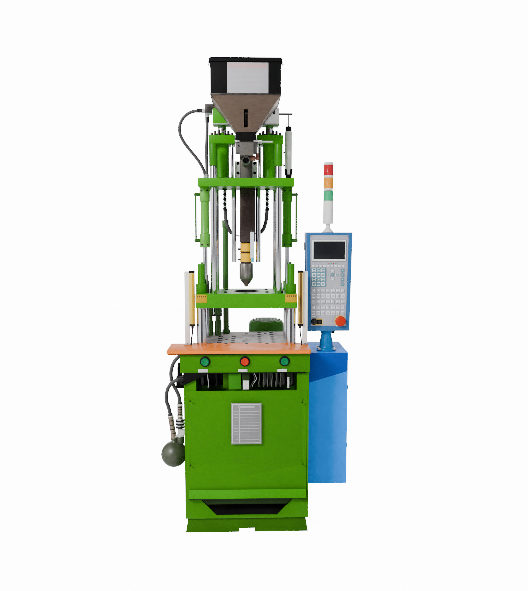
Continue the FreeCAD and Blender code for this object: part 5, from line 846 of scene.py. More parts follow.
@dataclass
class BaseCabinet:
    """Foot frame, sheet cabinet, front panel and what shows in the recess over it."""

    panel_face: float = -259.3
    screw_spots: tuple = ((-273, 677), (271, 667), (-276, 355), (276, 355))
    screw_radius: float = 5.5
    plate: tuple[float, float, float, float] = (-76, 459, 72, 666)
    plate_rules: int = 11
    lip_height: float = 46.0
    lip_reach: float = 9.0
    vent_rows: int = 12
    vent_start: Point = (-305, 40, 470)
    vent_pitch: float = 14.0
    hatch_face: float = -306.4
    recess_floor: float = 727
    recess_top: float = 812
    hoses: tuple = ((92, -172, 9), (122, -168, 11), (152, -176, 8), (182, -170, 11), (226, -176, 7), (-150, -176, 6),
                    (-222, -172, 9))

    def build(self) -> None:
        """Builds the cabinet's pieces."""
        # The foot frame takes the darker green as painted shade.
        refined("base_frame", "foot_frame", FOOT_GREEN, 1.2)
        refined("cabinet_shell", "cabinet_sheet", CABINET_GREEN, 1.2, self.shell_finish)
        refined("front_panel", "front_panel_sheet", CABINET_GREEN, 0.9)
        self.panel_fittings()
        self.lip()
        self.recess_sheets()
        self.recess_lines()
        self.side_vents()

    def shell_finish(self, middle: Vector) -> Finish:
        """Gives the chute's deep inside black as painted shade and the rest its paint."""
        inside = 80 < middle.z < 175 and -232 < middle.y < 200 and abs(middle.x) < 170
        return BLACK if inside else CABINET_GREEN

    def panel_fittings(self) -> None:
        """Adds the panel's screws and its bare plate with rules and rivets."""
        face = self.panel_face
        solid = Solid()
        for across, height in self.screw_spots:
            solid.screw((across, face, height), self.screw_radius, FOOT_GREEN, head=0.4)
            solid.disc(2.4, 0.5, (across, face - 0.9, height), BLACK, FRONT, 6)
        solid.piece("panel_screws", "machined_steel")
        left, bottom, right, top = self.plate
        bars = [(left + 6, row - 1.5, right - 6, row + 1.5) for row in (bottom + 7, top - 7)]
        bars += [(column - 1.5, bottom + 7, column + 1.5, top - 7) for column in (left + 7, left + 40, right - 7)]
        rows = [bottom + 22 + row * (top - bottom - 52) / self.plate_rules for row in range(self.plate_rules)]
        rules = [(left + 12, row, right - 12, row + 2.2) for row in rows]
        rules.append((left + 34, top - 24, right - 34, top - 15))
        plate = Solid().panel(face, self.plate, 1.4, 0.2, PLATE, 0.5)
        for finish, spots in ((TAG, bars), (PRINT, rules)):
            for spot in spots:
                plate.panel(face, spot, 1.8, -1.3, finish, 0.1)
        for across, height in product((left + 3.6, right - 3.6), (bottom + 3.6, top - 3.6)):
            plate.rivet((across, face - 1.4, height), 2.2, 0.6)
        plate.piece("bare_panel_plate", "stainless")

    def lip(self) -> None:
        """Adds the panel's leaning lip with a dark strip of painted shade under it, and a dark sheet of painted shade
        in the chute's mouth.
        """
        low, high = extents("front_panel")
        left, right, reach = low.x + 8, high.x - 2, low.y - self.lip_reach
        crest, fold = low.z + self.lip_height, low.z + 4
        lip = Solid().sheet((left, right), (low.y, crest), (reach, fold), (0, 2, 0), GREEN, 0.5)
        lip.block((left, reach, low.z), (right, low.y + 0.2, fold), SHADE, 0.5)
        lip.piece("front_panel_lip", "green_paint")
        # The dark sheet across the chute's mouth is painted shade.
        chute_shade = Solid().slab([(-236, -252, 190), (236, -252, 190), (196, -252, 150), (-196, -252, 150)], (0, 3, 0),
                              SHADE, 0.5)
        chute_shade.piece("chute_shade_sheet", "black_paint")

    def recess_sheets(self) -> None:
        """Adds black sheets of painted shade: the back of the recess, a triangle under the beam's left end and a strip
        under the beam; and the posts in darker paints as painted shade.
        """
        back = Solid().block((-238, -150.8, 728), (238, -149, self.recess_top), BLACK, 0.4)
        # The black triangle under the beam's left end is a painted shadow.
        back.slab([(-306, -252, 813), (-196, -252, 813), (-196, -252, 803), (-306, -252, 752)], (0, 4, 0), BLACK, 0.5)
        back.block((-306, -252.5, 809.5), (290, -240, 813.8), BLACK, 0.6)
        back.piece("recess_painted_shade_sheets", "black_paint")
        posts = Solid()
        # The post and plates take darker greens and the shade green as painted shade.
        for left, right, front, behind, finish, bevel in (
                (-88, -28, -236, -232, DIM_GREEN, 0.8), (-116, -86, -206, -204, FOOT_GREEN, 0.6),
                (-22, 14, -236, -233, SHADE, 0.6), (198, 216, -219, -216, SHADE, 0.6)):
            posts.block((left, front, self.recess_floor), (right, behind, self.recess_top), finish, bevel)
        posts.piece("recess_post_plate", "green_paint")

    def recess_lines(self) -> None:
        """Adds the hoses, leads and bare tags in the recess."""
        lines = Solid()
        for across, deep, radius in self.hoses:
            bow = radius * 0.4
            route = [(across, deep, 729), (across + bow, deep - 3, 750), (across - bow, deep, 790),
                     (across, deep, 813)]
            lines.tube(route_line(route), radius, RUBBER if radius > 6 else CABLE)
            lines.rod((across, deep, 729), (across, deep, 738), radius * 1.25, DARK_STEEL)
        lines.piece("recess_hoses", "hose_rubber")
        bent = ((0, -200, 812), (16, -203, 790), (22, -205, 768), (4, -203, 748), (-2, -200, 728))
        hung = ((0, -196, 812), (3, -198, 780), (-2, -198, 750), (0, -196, 728))
        loose = ((0, -200, 812), (-2, -203, 785), (2, -203, 755), (0, -200, 728))
        rows = [(20, bent, 1.7, LEAD), (28, bent, 1.7, WHITE_PLASTIC)]
        rows += [(62 + number * 21, hung, 2.4, LEAD) for number in range(6)] + [(-190, loose, 2.0, WHITE_PLASTIC)]
        leads = Solid()
        for start, points, radius, finish in rows:
            leads.tube(route_line([(start + across, deep, height) for across, deep, height in points]), radius, finish)
        leads.piece("recess_leads", "cable_plastic")
        tags = Solid().block((-17, -237.6, 727), (11, -236, 771), TAG, 0.4)
        tags.block((201, -220.6, 727), (210, -219, 782), TAG, 0.4)
        tags.rivet((-3, -237.6, 765), 2.0).rivet((205.5, -220.6, 776), 2.0)
        tags.piece("recess_tags", "stainless")

    def side_vents(self) -> None:
        """Adds pressed louvres, a maintenance hatch and its turn lock on the left side."""
        solid = Solid().louvres(self.vent_start, 190, self.vent_rows, self.vent_pitch, (-6, 1.5), 9, CABINET_GREEN)
        solid.block((self.hatch_face, 20, 130), (-304.6, 340, 430), CABINET_GREEN, 0.7)
        solid.screws(((self.hatch_face, along, height) for height, along in product((148, 412), (38, 322))), 6.0,
                     DARK_STEEL, LEFT)
        solid.turned([(11, 0), (11, 3), (9, 4.5), (0, 4.5)], (self.hatch_face, 180, 412), DARK_STEEL, LEFT)
        solid.block((-312.6, 178.4, 404), (-310.4, 181.6, 420), STEEL, 0.4)
        solid.piece("side_louvres", "green_paint")


@dataclass
class ButtonBeam:
    """Beam under the table with two green buttons and a red one."""

    height: float = 870.0
    seat: float = -235.0
    head: tuple = ((0, 0), (9.5, 0), (9.5, 18), (11.5, 18), (11.5, 26.5), (17.5, 26.5), (18.5, 27.5), (18.5, 30),
                   (17.2, 31.6), (14.0, 32), (12.5, 31.0), (0, 30.4))
    buttons: tuple = ((-200, "start_button_left", "left_green_button", GREEN_BUTTON),
                      (-8, "stop_button", "red_stop_button", RED_BUTTON),
                      (184, "start_button_right", "right_green_button", GREEN_BUTTON))

    def build(self) -> None:
        """Builds the beam, the buttons with black rings of painted shade round them, and the bare plates."""
        refined("button_beam", "button_beam_sheet", CABINET_GREEN, 1.5)
        front = extents("button_beam")[0].y
        rings = Solid()
        for across, node, name, finish in self.buttons:
            Solid().turned(self.head, (across, self.seat, self.height), finish, FRONT).stand_in(name, node)
            rings.ring(11.9, 15.6, 2.6, (across, front, self.height), CHROME, FRONT)
            # The black ring round each chrome ring is painted shade.
            rings.turned([(15.7, 0), (25.5, 0), (25.5, 1.4), (24, 2.4), (15.7, 2.8), (15.7, 0)],
                         (across, front + 0.1, self.height), BLACK_PLASTIC, FRONT)
            rings.panel(front, (across - 34, 817, across + 12, 832), 1.2, 0.2, TAG, 0.3)
            for side in (-30, 8):
                rings.rivet((across + side, front - 1.2, 825.5), 1.6)
        rings.piece("button_surrounds_and_shade_rings", "chromed_steel")


@dataclass
class Tables:
    """Glossy orange work table and the drilled lower platen behind it."""

    sole: float = 861.5
    crown: float = 923.5

    def build(self) -> None:
        """Builds the table with a black sheet of painted shade under it, and the platen."""
        low, high = extents("work_table")
        refined("work_table", "orange_table", ORANGE, 1.8)
        # The black sheet under the table is painted shade.
        shade_sheet = Solid().block((low.x + 5, low.y + 5, low.z - 3.2), (high.x - 5, -252.5, low.z - 0.1), BLACK, 0.5)
        shade_sheet.piece("table_painted_shade_sheet", "black_paint")
        refined("lower_platen", "lower_platen_plate", BED_STEEL, 0.8, self.plate_finish)
        # Black rings and discs on the platen stand in for the holes' shaded insides: painted shade.
        marks = Solid()
        for across, along in product((-140, -70, 70, 140), (-40, 20, 80, 140, 200, 260)):
            if along < 200 or across > 0:
                marks.turned([(6.0, 0.05), (12.0, 0.05), (12.0, 0.9), (6.0, 1.1), (6.0, 0.05)],
                             (across, along, TABLE_TOP), BLACK)
        for across, along in product((-105, 0, 105), (-80, 50, 230)):
            marks.lathe(0, [(8.0, 0.05), (8.0, 0.9)], (across, along, TABLE_TOP), BLACK)
        marks.piece("hole_shade_marks", "machined_steel")

    def plate_finish(self, middle: Vector) -> Finish:
        """Gives the plate's faces and bores bare steel and its sides green paint."""
        inside = abs(middle.x) < 250 and -150 < middle.y < 295
        return GREEN if self.sole <= middle.z <= self.crown and not inside else BED_STEEL


@dataclass
class ClampUnit:
    """Clamp and lift cylinders, the moving platen on its pull rods, and the guide rods."""

    tapes: tuple = ((-251.0, -196.0), (193.0, 251.0))
    tape_low: float = 1145
    tape_high: float = 1185
    side_face: float = 252.3
    sleeve_foot: float = 1033

    def build(self) -> None:
        """Builds the unit's pieces."""
        refined("clamp_cylinders", "clamp_cylinder_tubes", PIPE_GREEN, 1.2)
        refined("lift_cylinders", "lift_cylinder_tubes", PIPE_GREEN, 0.8)
        refined("moving_platen", "moving_platen_plate", GREEN, 1.8, self.platen_finish)
        refined("pull_rods", "pull_rods_chrome", CHROME, 0.6, self.lift_finish)
        refined("guide_rods", "guide_rods_chrome", CHROME, 0.6)
        # The rod caps take the darker green as painted shade.
        refined("rod_caps", "rod_caps_green", DIM_GREEN, 1.0)
        refined("piston_rods", "thrust_rods", CHROME, 0.5, self.lift_finish)
        self.marking_strips()
        self.platen_fittings()

    def lift_finish(self, middle: Vector) -> Finish:
        """Gives the lift rods behind the left guide rod dark paint."""
        return PIPE_GREEN if middle.x < -140 and 150 < middle.y < 230 else CHROME

    def platen_finish(self, middle: Vector) -> Finish:
        """Gives the middle bore a black inside of painted shade, the mould face bare steel and the rest paint."""
        if math.hypot(middle.x, middle.y) < 66 and 1118 < middle.z < 1186:
            return SHADE_INSIDE
        return STEEL if middle.z < 1117.4 else GREEN

    def marking_strips(self) -> None:
        """Adds the amber marking strips at the platen's front corners."""
        front = extents("moving_platen")[0].y
        strips = Solid()
        for start, end in self.tapes:
            strips.panel(front, (start, self.tape_low, end, self.tape_high), 0.5, 0.3, AMBER, 0.2)
            side = math.copysign(self.side_face, start)
            left, right = sorted((side, side * 0.998))
            strips.block((left, front + 4, self.tape_low), (right, front + 48, self.tape_high), AMBER, 0.1)
            for number in range(5):
                across = start + 6 + number * 10
                mark = ((0, 1171), (5, 1171), (9, 1180), (4, 1180))
                strips.slab([(across + shift, front - 0.5, height) for shift, height in mark], (0, -0.3, 0), UMBER, 0.1)
        strips.piece("platen_marking_strips", "yellow_paint", "platen")

    def platen_fittings(self) -> None:
        """Adds the grease fittings, the locating ring, the lift rods' sleeves and the lower platen's bolts."""
        fittings = Solid()
        for across, along, tall in ((-194, -98, 84), (-176, -92, 40), (178, -96, 44)):
            fittings.nut((across, along, 1186.6), 8.0, 9, DARK_STEEL)
            fittings.lathe(0, [(5.5, 0), (5.5, tall * 0.5), (4.2, tall * 0.56), (4.2, tall - 3), (2.5, tall)],
                           (across, along, 1195.6), CHROME if across > 0 else DARK_STEEL)
        fittings.screws(product((-105, 105), (-70, 70), (PLATEN_TOP,)), 8.0, DARK_STEEL, UP)
        fittings.ring(65.2, 71, 0.8, (0, 0, PLATEN_TOP), DARK_STEEL, steps=64)
        fittings.piece("platen_fittings", "machined_steel", "platen")
        sleeves = Solid()
        for across in (-202, -157):
            sleeves.ring(19.6, 21.6, 84, (across, 190, self.sleeve_foot), PIPE_GREEN)
            sleeves.ring(21.7, 23.2, 6, (across, 190, self.sleeve_foot), DARK_STEEL)
        sleeves.piece("lift_rod_sleeves", "dark_green_paint", "platen")
        bolts = Solid().screws(product((-238, 238), (-20, 150, 280), (TABLE_TOP,)), 9.0, DARK_STEEL, UP)
        bolts.piece("lower_platen_bolts", "machined_steel")


@dataclass
class InjectionCarriage:
    """Carriage plate with its injection and nozzle touch cylinders, rods, pipes and conduits."""

    cylinder_x: float = 120.0
    touch_x: float = 208.0
    cap_top: float = 1972.0
    cap_bolt_reach: float = 47.0
    cap_studs: tuple = ((-50, 12), (-33, 21), (-15, 24), (15, 24), (33, 21), (50, 12))
    stud_radius: float = 6.4
    conduit_top: Point = (110, 30, 1715)
    left_conduit: tuple = ((-110, 30, 1715), (-110, 30, 1668), (-109, 30, 1620), (-107, 29, 1571), (-100, 28, 1530),
                           (-84, 27, 1494), (-58, 26, 1476), (-32, 26, 1472))
    right_conduit: tuple = ((110, 30, 1715), (110, 30, 1668), (109, 30, 1620), (107, 29, 1571), (99, 28, 1530),
                            (85, 27, 1498), (66, 26, 1486), (48, 26, 1483.5))

    def build(self) -> None:
        """Builds the carriage's pieces."""
        refined("carriage_plate", "carriage_plate_sheet", GREEN, 1.8)
        refined("injection_cylinders", "injection_cylinder_bodies", GREEN, 4.0)
        refined("touch_cylinders", "touch_cylinder_bodies", GREEN, 1.2, self.touch_finish)
        refined("carriage_rods", "carriage_tie_rods", CHROME, 0.5, self.rod_finish)
        refined("touch_pipes", "touch_pipe_lines", PIPE_GREEN, 0.4)
        self.bolts()
        self.conduits()

    def touch_finish(self, middle: Vector) -> Finish:
        """Gives the left cylinder a lighter copy of the green as painted light and the right one a darker copy as
        painted shade.
        """
        return LIT_GREEN if middle.x < 0 else DIM_GREEN

    def rod_finish(self, middle: Vector) -> Finish:
        """Gives the upper stretch of the outer tie rods its green sleeve."""
        return GREEN if abs(middle.x) > 120 and middle.z > 1812 else CHROME

    def bolts(self) -> None:
        """Adds the studs, socket screws and nuts of the cylinders and the plate."""
        low, high = extents("injection_cylinders")
        touch_low, touch_high = extents("touch_cylinders")
        half = (high.y - low.y) / 2 - 14
        solid = Solid()
        for side in (-1, 1):
            middle = side * self.cylinder_x
            for (across, tall), along in product(self.cap_studs, (-half, half)):
                solid.screw((middle + across, along, self.cap_top), self.stud_radius, DARK_STEEL, UP,
                            tall / self.stud_radius)
            for across, along in product((-self.cap_bolt_reach, self.cap_bolt_reach), (-half, half)):
                solid.nut((middle + across, along, CARRIAGE_TOP), 9.0, 8.0, DARK_STEEL)
            solid.screws(product((side * 88,), (-118, 118), (CARRIAGE_TOP,)), 8.0, DARK_STEEL, UP)
            for height, across in product((touch_low.z + 14, touch_high.z - 16), (-15, 15)):
                solid.screw((side * self.touch_x + across, touch_low.y, height), 4.5, DARK_STEEL)
        solid.piece("cylinder_bolts", "machined_steel", "carriage")

    def conduits(self) -> None:
        """Adds the beaded conduits under the plate's connectors, the thick sleeves and the heater leads."""
        out, along, top = self.conduit_top
        flex = Solid()
        for side, route in ((-1, self.left_conduit), (1, self.right_conduit)):
            line = route_line(route, 6)
            lower = [point for point in line if point.z < 1612 and abs(point.x) > 74]
            flex.tube(line, 3.2, WHITE_PLASTIC).tube(lower, 9.0, SLEEVE)
            flex.tube([point for point in line if point.z > 1606], 6.0, BLACK_PLASTIC)
            for number in range(8):
                height = top - 15 - number * 12.5
                flex.rod((side * out, along, height - 4.4), (side * out, along, height + 4.4), 10.0,
                         BLACK_PLASTIC if number % 2 else CHROME, sides=20, bevel=2.4)
            flex.lathe(0, [(12.5, 0), (12.5, -6), (11, -8)], (side * out, along, top), BLACK_PLASTIC)
            for point in (lower[0], lower[-1]):
                flex.ball(point, 10.4, BLACK_PLASTIC, (1, 1, 0.8))
        flex.stand_in("heater_lead_conduits", "heater_conduits")


@dataclass
class Plasticiser:
    """Screw barrel with its guard, heater bands, nozzle, feed casting and gate."""

    band_gap: float = 4.0
    elbow: Point = (56, -112, 1852)
    spout_height: float = 1838
    plate_foot: float = 1750

    def build(self) -> None:
        """Builds the pieces along the screw's axis."""
        refined("barrel", "screw_barrel", BRONZE, 0.8, self.barrel_finish)
        refined("barrel_shroud", "barrel_guard", BRONZE, 9.0, self.guard_finish)
        refined("nozzle", "nozzle_chrome", NOZZLE, 0.8)
        refined("feed_block", "feed_casting", CAST, 1.6, self.casting_finish)
        refined("feed_gate", "feed_gate_plate", TAG, 0.5)
        refined("injection_screw", "injection_screw_flights", STEEL, 0.3)
        self.heaters()
        self.feed_fittings()
        self.guard_fittings()

    def barrel_finish(self, middle: Vector) -> Finish:
        """Gives the neck over the carriage plate its cast skin and the rest its heat colours."""
        return CAST if middle.z > self.plate_foot else BRONZE

    def guard_finish(self, middle: Vector) -> Finish:
        """Gives the guard's right strip black as painted shade on its shaded side."""
        return BLACK if middle.x > 40 else BRONZE

    def casting_finish(self, middle: Vector) -> Finish:
        """Gives the backing plate pale paint."""
        return WHITE if middle.y > 33 and middle.z < 1880 else CAST

    def heaters(self) -> None:
        """Adds the heater bands: a sheet with rolled edges, a clamp at the back, a terminal box and a sensor."""
        solid = Solid()
        low, high = extents("heater_bands")
        middle = (low.z + high.z) / 2
        for bottom, top in ((low.z, middle - self.band_gap / 2), (middle + self.band_gap / 2, high.z)):
            tall = top - bottom
            solid.lathe(28.5, [(31, 0), (32, 1.5), (32, 5), (30.6, 6), (30.6, tall - 6), (32, tall - 5),
                               (32, tall - 1.5), (31, tall)], (0, 0, bottom), HEATER)
            for left, right in ((-7, -1.2), (1.2, 7)):
                solid.block((left, 29, bottom + 5), (right, 37, top - 5), HEATER, 0.8)
            for height in (bottom + 14, top - 14):
                solid.rod((-11, 33.5, height), (11, 33.5, height), 2.6, STEEL)
                solid.nut((-14, 33.5, height), 4.6, 4.0, STEEL, RIGHT)
            for height in (bottom + 1.5, top - 1.5):
                solid.ring(31.5, 33, 1.2, (0, 0, height), DARK_STEEL, low=-1.2)
            solid.block((26, -10, bottom + 10), (38, 10, top - 12), CAST, 1.5)
            solid.rod((32, 0, top - 13), (32, 0, top - 2), 4.0, WHITE_PLASTIC)
            solid.rod((-44, -8, bottom + 14), (-30, -8, bottom + 14), 5.0, DARK_STEEL)
        solid.stand_in("heater_band_sheets", "heater_bands")

    def feed_fittings(self) -> None:
        """Adds the clear-out spout's rim with a dark disc of painted shade in its mouth, the elbow with its pipe and
        the backing plate's bolts.
        """
        x, y, z = self.elbow
        solid = Solid()
        solid.lathe(15.2, [(20.5, 0), (20.5, 5), (19, 7)], (0, -148, self.spout_height), CHROME, FRONT)
        solid.disc(15.1, 1, (0, -128, self.spout_height), SHADE_INSIDE, FRONT)
        solid.screws(product((-42, 45), (34,), (1796, 1845)), 7.0, BLACK)
        solid.rod((20, y, z - 2), (40, y, z), 12.0, RUST).nut((38, y, z), 13.5, 9.0, RUST, RIGHT)
        solid.ball((x, y, z), 10.5, RUST).rod((x, y, z), (x, y, 1876), 7.0, RUST)
        for (front, height), across in product(((-120, 1893), (-146.5, 1908)), (-34, 34)):
            solid.screw((across, front, height), 4.5, DARK_STEEL)
        solid.piece("feed_fittings", "cast_metal", "carriage")

    def guard_fittings(self) -> None:
        """Adds the guard's screws and the pale strip with its blue end that hangs in front."""
        low, high = extents("barrel_shroud")
        front = low.y
        solid = Solid().screws(product((high.x - 14,), (front,), (low.z + 12, high.z - 14)), 3.4, DARK_STEEL)
        solid.panel(front, (21, 1360, 41, 1494), 2.4, -0.2, SKY, 0.8)
        solid.panel(front, (23, 1341, 40, 1361), 2.0, -0.6, CYAN, 0.6)
        solid.rod((31, front - 0.4, 1500), (31, front + 8, 1500), 5.0, DARK_STEEL)
        solid.piece("guard_fittings", "stainless", "carriage")


@dataclass
class Hopper:
    """Black bin over a stainless funnel with its flange, sight window, bare plate and flared lid."""

    seam: float = 2114.0
    bin_low: Point = (-160, -302)
    bin_high: Point = (160, -62)
    foot: float = 1971.0
    foot_front: float = -136.0
    axis_y: float = -112.0
    mouth: float = 24.0
    bars: tuple = ((-70, 20), (-70, 84), (-56, 60), (-70, 88), (-62, 40))
    window: tuple = ((-13, -10, 1976, 2072, 0.4, 2.0, SHEET_EDGE), (21, 24, 1976, 2072, 0.4, 2.0, SHEET_EDGE),
                     (-10, 21, 1976, 1980, 0.4, 2.0, SHEET_EDGE), (-10, 21, 2068, 2072, 0.4, 2.0, SHEET_EDGE),
                     (-5, 15, 1984, 2048, 0.4, 1.2, BRONZE), (-2, 12, 1988, 2042, 1.7, 0.8, BLACK),
                     (-26, 29, 2078, 2083, 0.4, 3.0, SHEET_EDGE), (-27, 30, 2066, 2070, 2.6, 2.6, BRONZE),
                     (-23, -17, 2064, 2086, 0.6, 3.4, SHEET_EDGE), (20, 26, 2064, 2086, 0.6, 3.4, SHEET_EDGE),
                     (-40, 44, 1973, 1977, 0.4, 4.0, SHEET_EDGE))

    def build(self) -> None:
        """Builds the hopper and its lid."""
        refined("hopper", "hopper_sheets", STAINLESS, 0.6, self.sheet_finish)
        self.trim()
        self.sight_window()
        self.lid()

    def sheet_finish(self, middle: Vector) -> Finish:
        """Gives the bin and the flange their black paint and the funnel its bare sheet."""
        return BLACK if middle.z > self.seam - 1 or middle.z < self.foot + 0.5 else STAINLESS

    def trim(self) -> None:
        """Adds the corner welds, the seam strips, the flange's ears and the bare plate on the bin."""
        (left, front), (right, back) = self.bin_low, self.bin_high
        bottom, top = self.seam - 3, self.seam + 4
        solid = Solid()
        for y, x in product((front, back), (left, right)):
            foot = (math.copysign(self.mouth, x), self.axis_y + math.copysign(self.mouth, y + 182), self.foot + 4)
            solid.rod((x, y, self.seam - 2), foot, 2.2, STAINLESS, tip=1.8, sides=10, bevel=0)
        for side in (front - 0.9, back - 0.6):
            solid.block((left - 1, side, bottom), (right + 1, side + 1.5, top), DARK_STEEL, 0.4)
        for side in (left - 0.9, right - 0.6):
            solid.block((side, front, bottom), (side + 1.5, back, top), DARK_STEEL, 0.4)
        for side in (-42, 42):
            solid.block((side - 10, self.foot_front, 1938), (side + 10, -90, 1962), BLACK, 4.0)
            solid.nut((side, self.foot_front, 1950), 6.0, 5.0, DARK_STEEL, FRONT)
        solid.panel(front, (-84, 2119, 103, 2254), 0.9, 0.2, LILAC, 0.3)
        solid.panel(front, (-78, 2231, 97, 2250), 1.2, -0.7, BLUSH, 0.2)
        for row, (start, end) in enumerate(self.bars):
            solid.panel(front, (start, 2214 - row * 22, end, 2221 - row * 22), 1.2, -0.7, PRINT, 0.2)
        for across, height in product((-79, 98), (2123, 2250)):
            solid.rivet((across, front - 0.9, height), 2.2)
        solid.piece("hopper_trim", "stainless", "carriage")

    def funnel_front(self, height: float) -> float:
        """Y of the funnel's front sheet at a height, in millimetres."""
        share = (height - self.foot) / (self.seam - self.foot)
        return self.foot_front + (self.bin_low[1] - self.foot_front) * share

    def sight_window(self) -> None:
        """Adds the sight window and the small bracket, flat on the sloping front sheet."""
        solid = Solid()
        for left, right, bottom, top, out, thick, finish in self.window:
            low, high = ((self.funnel_front(height) - out, height) for height in (bottom, top))
            solid.sheet((left, right), low, high, (0, -thick, 0), finish, 0.5)
        solid.piece("sight_window", "stainless", "carriage")

    def lid(self) -> None:
        """Adds the lid with its flared corner lugs."""
        low, high = extents("hopper_lid")
        solid = Solid().cad("hopper_lid", BLACK, 0.4)
        for (side, edge), along in product(((-1, low.x), (1, high.x)), (low.y, low.y + 26)):
            solid.slab([(edge, along, low.z + 3), (edge + side * 6, along, low.z - 15),
                        (edge + side * 4, along, low.z - 15), (edge - side * 1.5, along, low.z + 3)], (0, 9, 0),
                       DARK_STEEL, 0.4)
        solid.sheet((low.x + 6, high.x - 6), (low.y + 4, high.z), (high.y - 20, high.z), (0, 0, 0.8), DARK_STEEL, 0.3)
        solid.stand_in("hopper_lid_sheet", "hopper_lid")


@dataclass
class CrossheadUnit:
    """Crosshead that drives the screw, with its piston rods, motor and position rod."""

    def build(self) -> None:
        """Builds the crosshead's pieces."""
        refined("crosshead", "crosshead_block", GREEN, 1.6)
        refined("injection_rods", "injection_piston_rods", CHROME, 0.6)
        refined("screw_motor", "screw_motor_body", DARK_STEEL, 1.2, self.motor_finish)
        refined("transducer_rod", "position_rod", DARK_STEEL, 0.4, self.rod_finish)
        self.fittings()

    def motor_finish(self, middle: Vector) -> Finish:
        """Gives the hose ports pale paint."""
        return PALE if middle.x < -150 else DARK_STEEL

    def rod_finish(self, middle: Vector) -> Finish:
        """Gives the lower stretch of the rod its chrome and the rest black paint."""
        return CHROME if middle.z < 2030 and middle.x > 200 else BLACK

    def fittings(self) -> None:
        """Adds the crosshead's white plate, its grey sole strip, the rod nuts and the motor's screws."""
        front = extents("crosshead")[0].y
        solid = Solid().panel(front, (40, 2032, 165.4, 2110), 3, 0.2, WHITE, 1.0)
        for across, height in ((120, 2076), (140, 2086)):
            solid.panel(front, (across - 5, height - 9, across + 5, height + 13), 5, -2.8, DARK_STEEL, 2.0)
        solid.panel(front, (-163, 2026.4, 163, 2031), 3.4, 3, STEEL, 0.4)
        for side in (-120, 120):
            solid.nut((side, 0, CROSSHEAD_TOP), 22, 12, STEEL)
            solid.rod((side, 0, CROSSHEAD_TOP + 12), (side, 0, CROSSHEAD_TOP + 17), 12, CHROME)
        solid.screws(((x, y, CROSSHEAD_TOP) for y, x in product((-26, 26), (-26, 26))), 5.5, STEEL, UP)
        solid.piece("crosshead_fittings", "machined_steel", "crosshead")


@dataclass
class Transducer:
    """Position transducer that stands on the carriage plate."""

    axis_x: float = 217.0
    axis_y: float = 10.0

    def build(self) -> None:
        """Builds the tube, its V-shaped foot and the stubs at its side."""
        base = Vector((self.axis_x, self.axis_y, CARRIAGE_TOP))
        tube = Solid()
        tube.disc(14, 30, base, BLACK_PLASTIC, bevel=1.0)
        tube.lathe(0, [(16.4, 30), (17.4, 31), (17.4, 246), (16.4, 247)], base, TUBE_GREY)
        tube.lathe(0, [(15.6, 247), (15.6, 268), (13, 271), (4.4, 271), (4.4, 260)], base, BLACK_PLASTIC)
        tube.stand_in("transducer_tube", "transducer_body")
        solid = Solid()
        x, front, foot = self.axis_x, self.axis_y - 14.6, CARRIAGE_TOP + 2
        for side in (-1, 1):
            solid.slab([(x + side * 2, front, foot), (x + side * 13, front, foot), (x + side * 21, front, foot + 55),
                        (x + side * 10, front, foot + 55)], (0, -4, 0), BLACK_PLASTIC, 1.0)
            solid.panel(front, (x + side * 4 - 3, foot, x + side * 4 + 3, foot + 11), 0.2, 4, BLACK_PLASTIC, 0.8)
        for height in (1832, 1897):
            solid.rod((x - 26, self.axis_y, height), (x - 17, self.axis_y, height), 5.0, BLACK_PLASTIC)
        solid.piece("transducer_clamps", "black_plastic", "carriage")


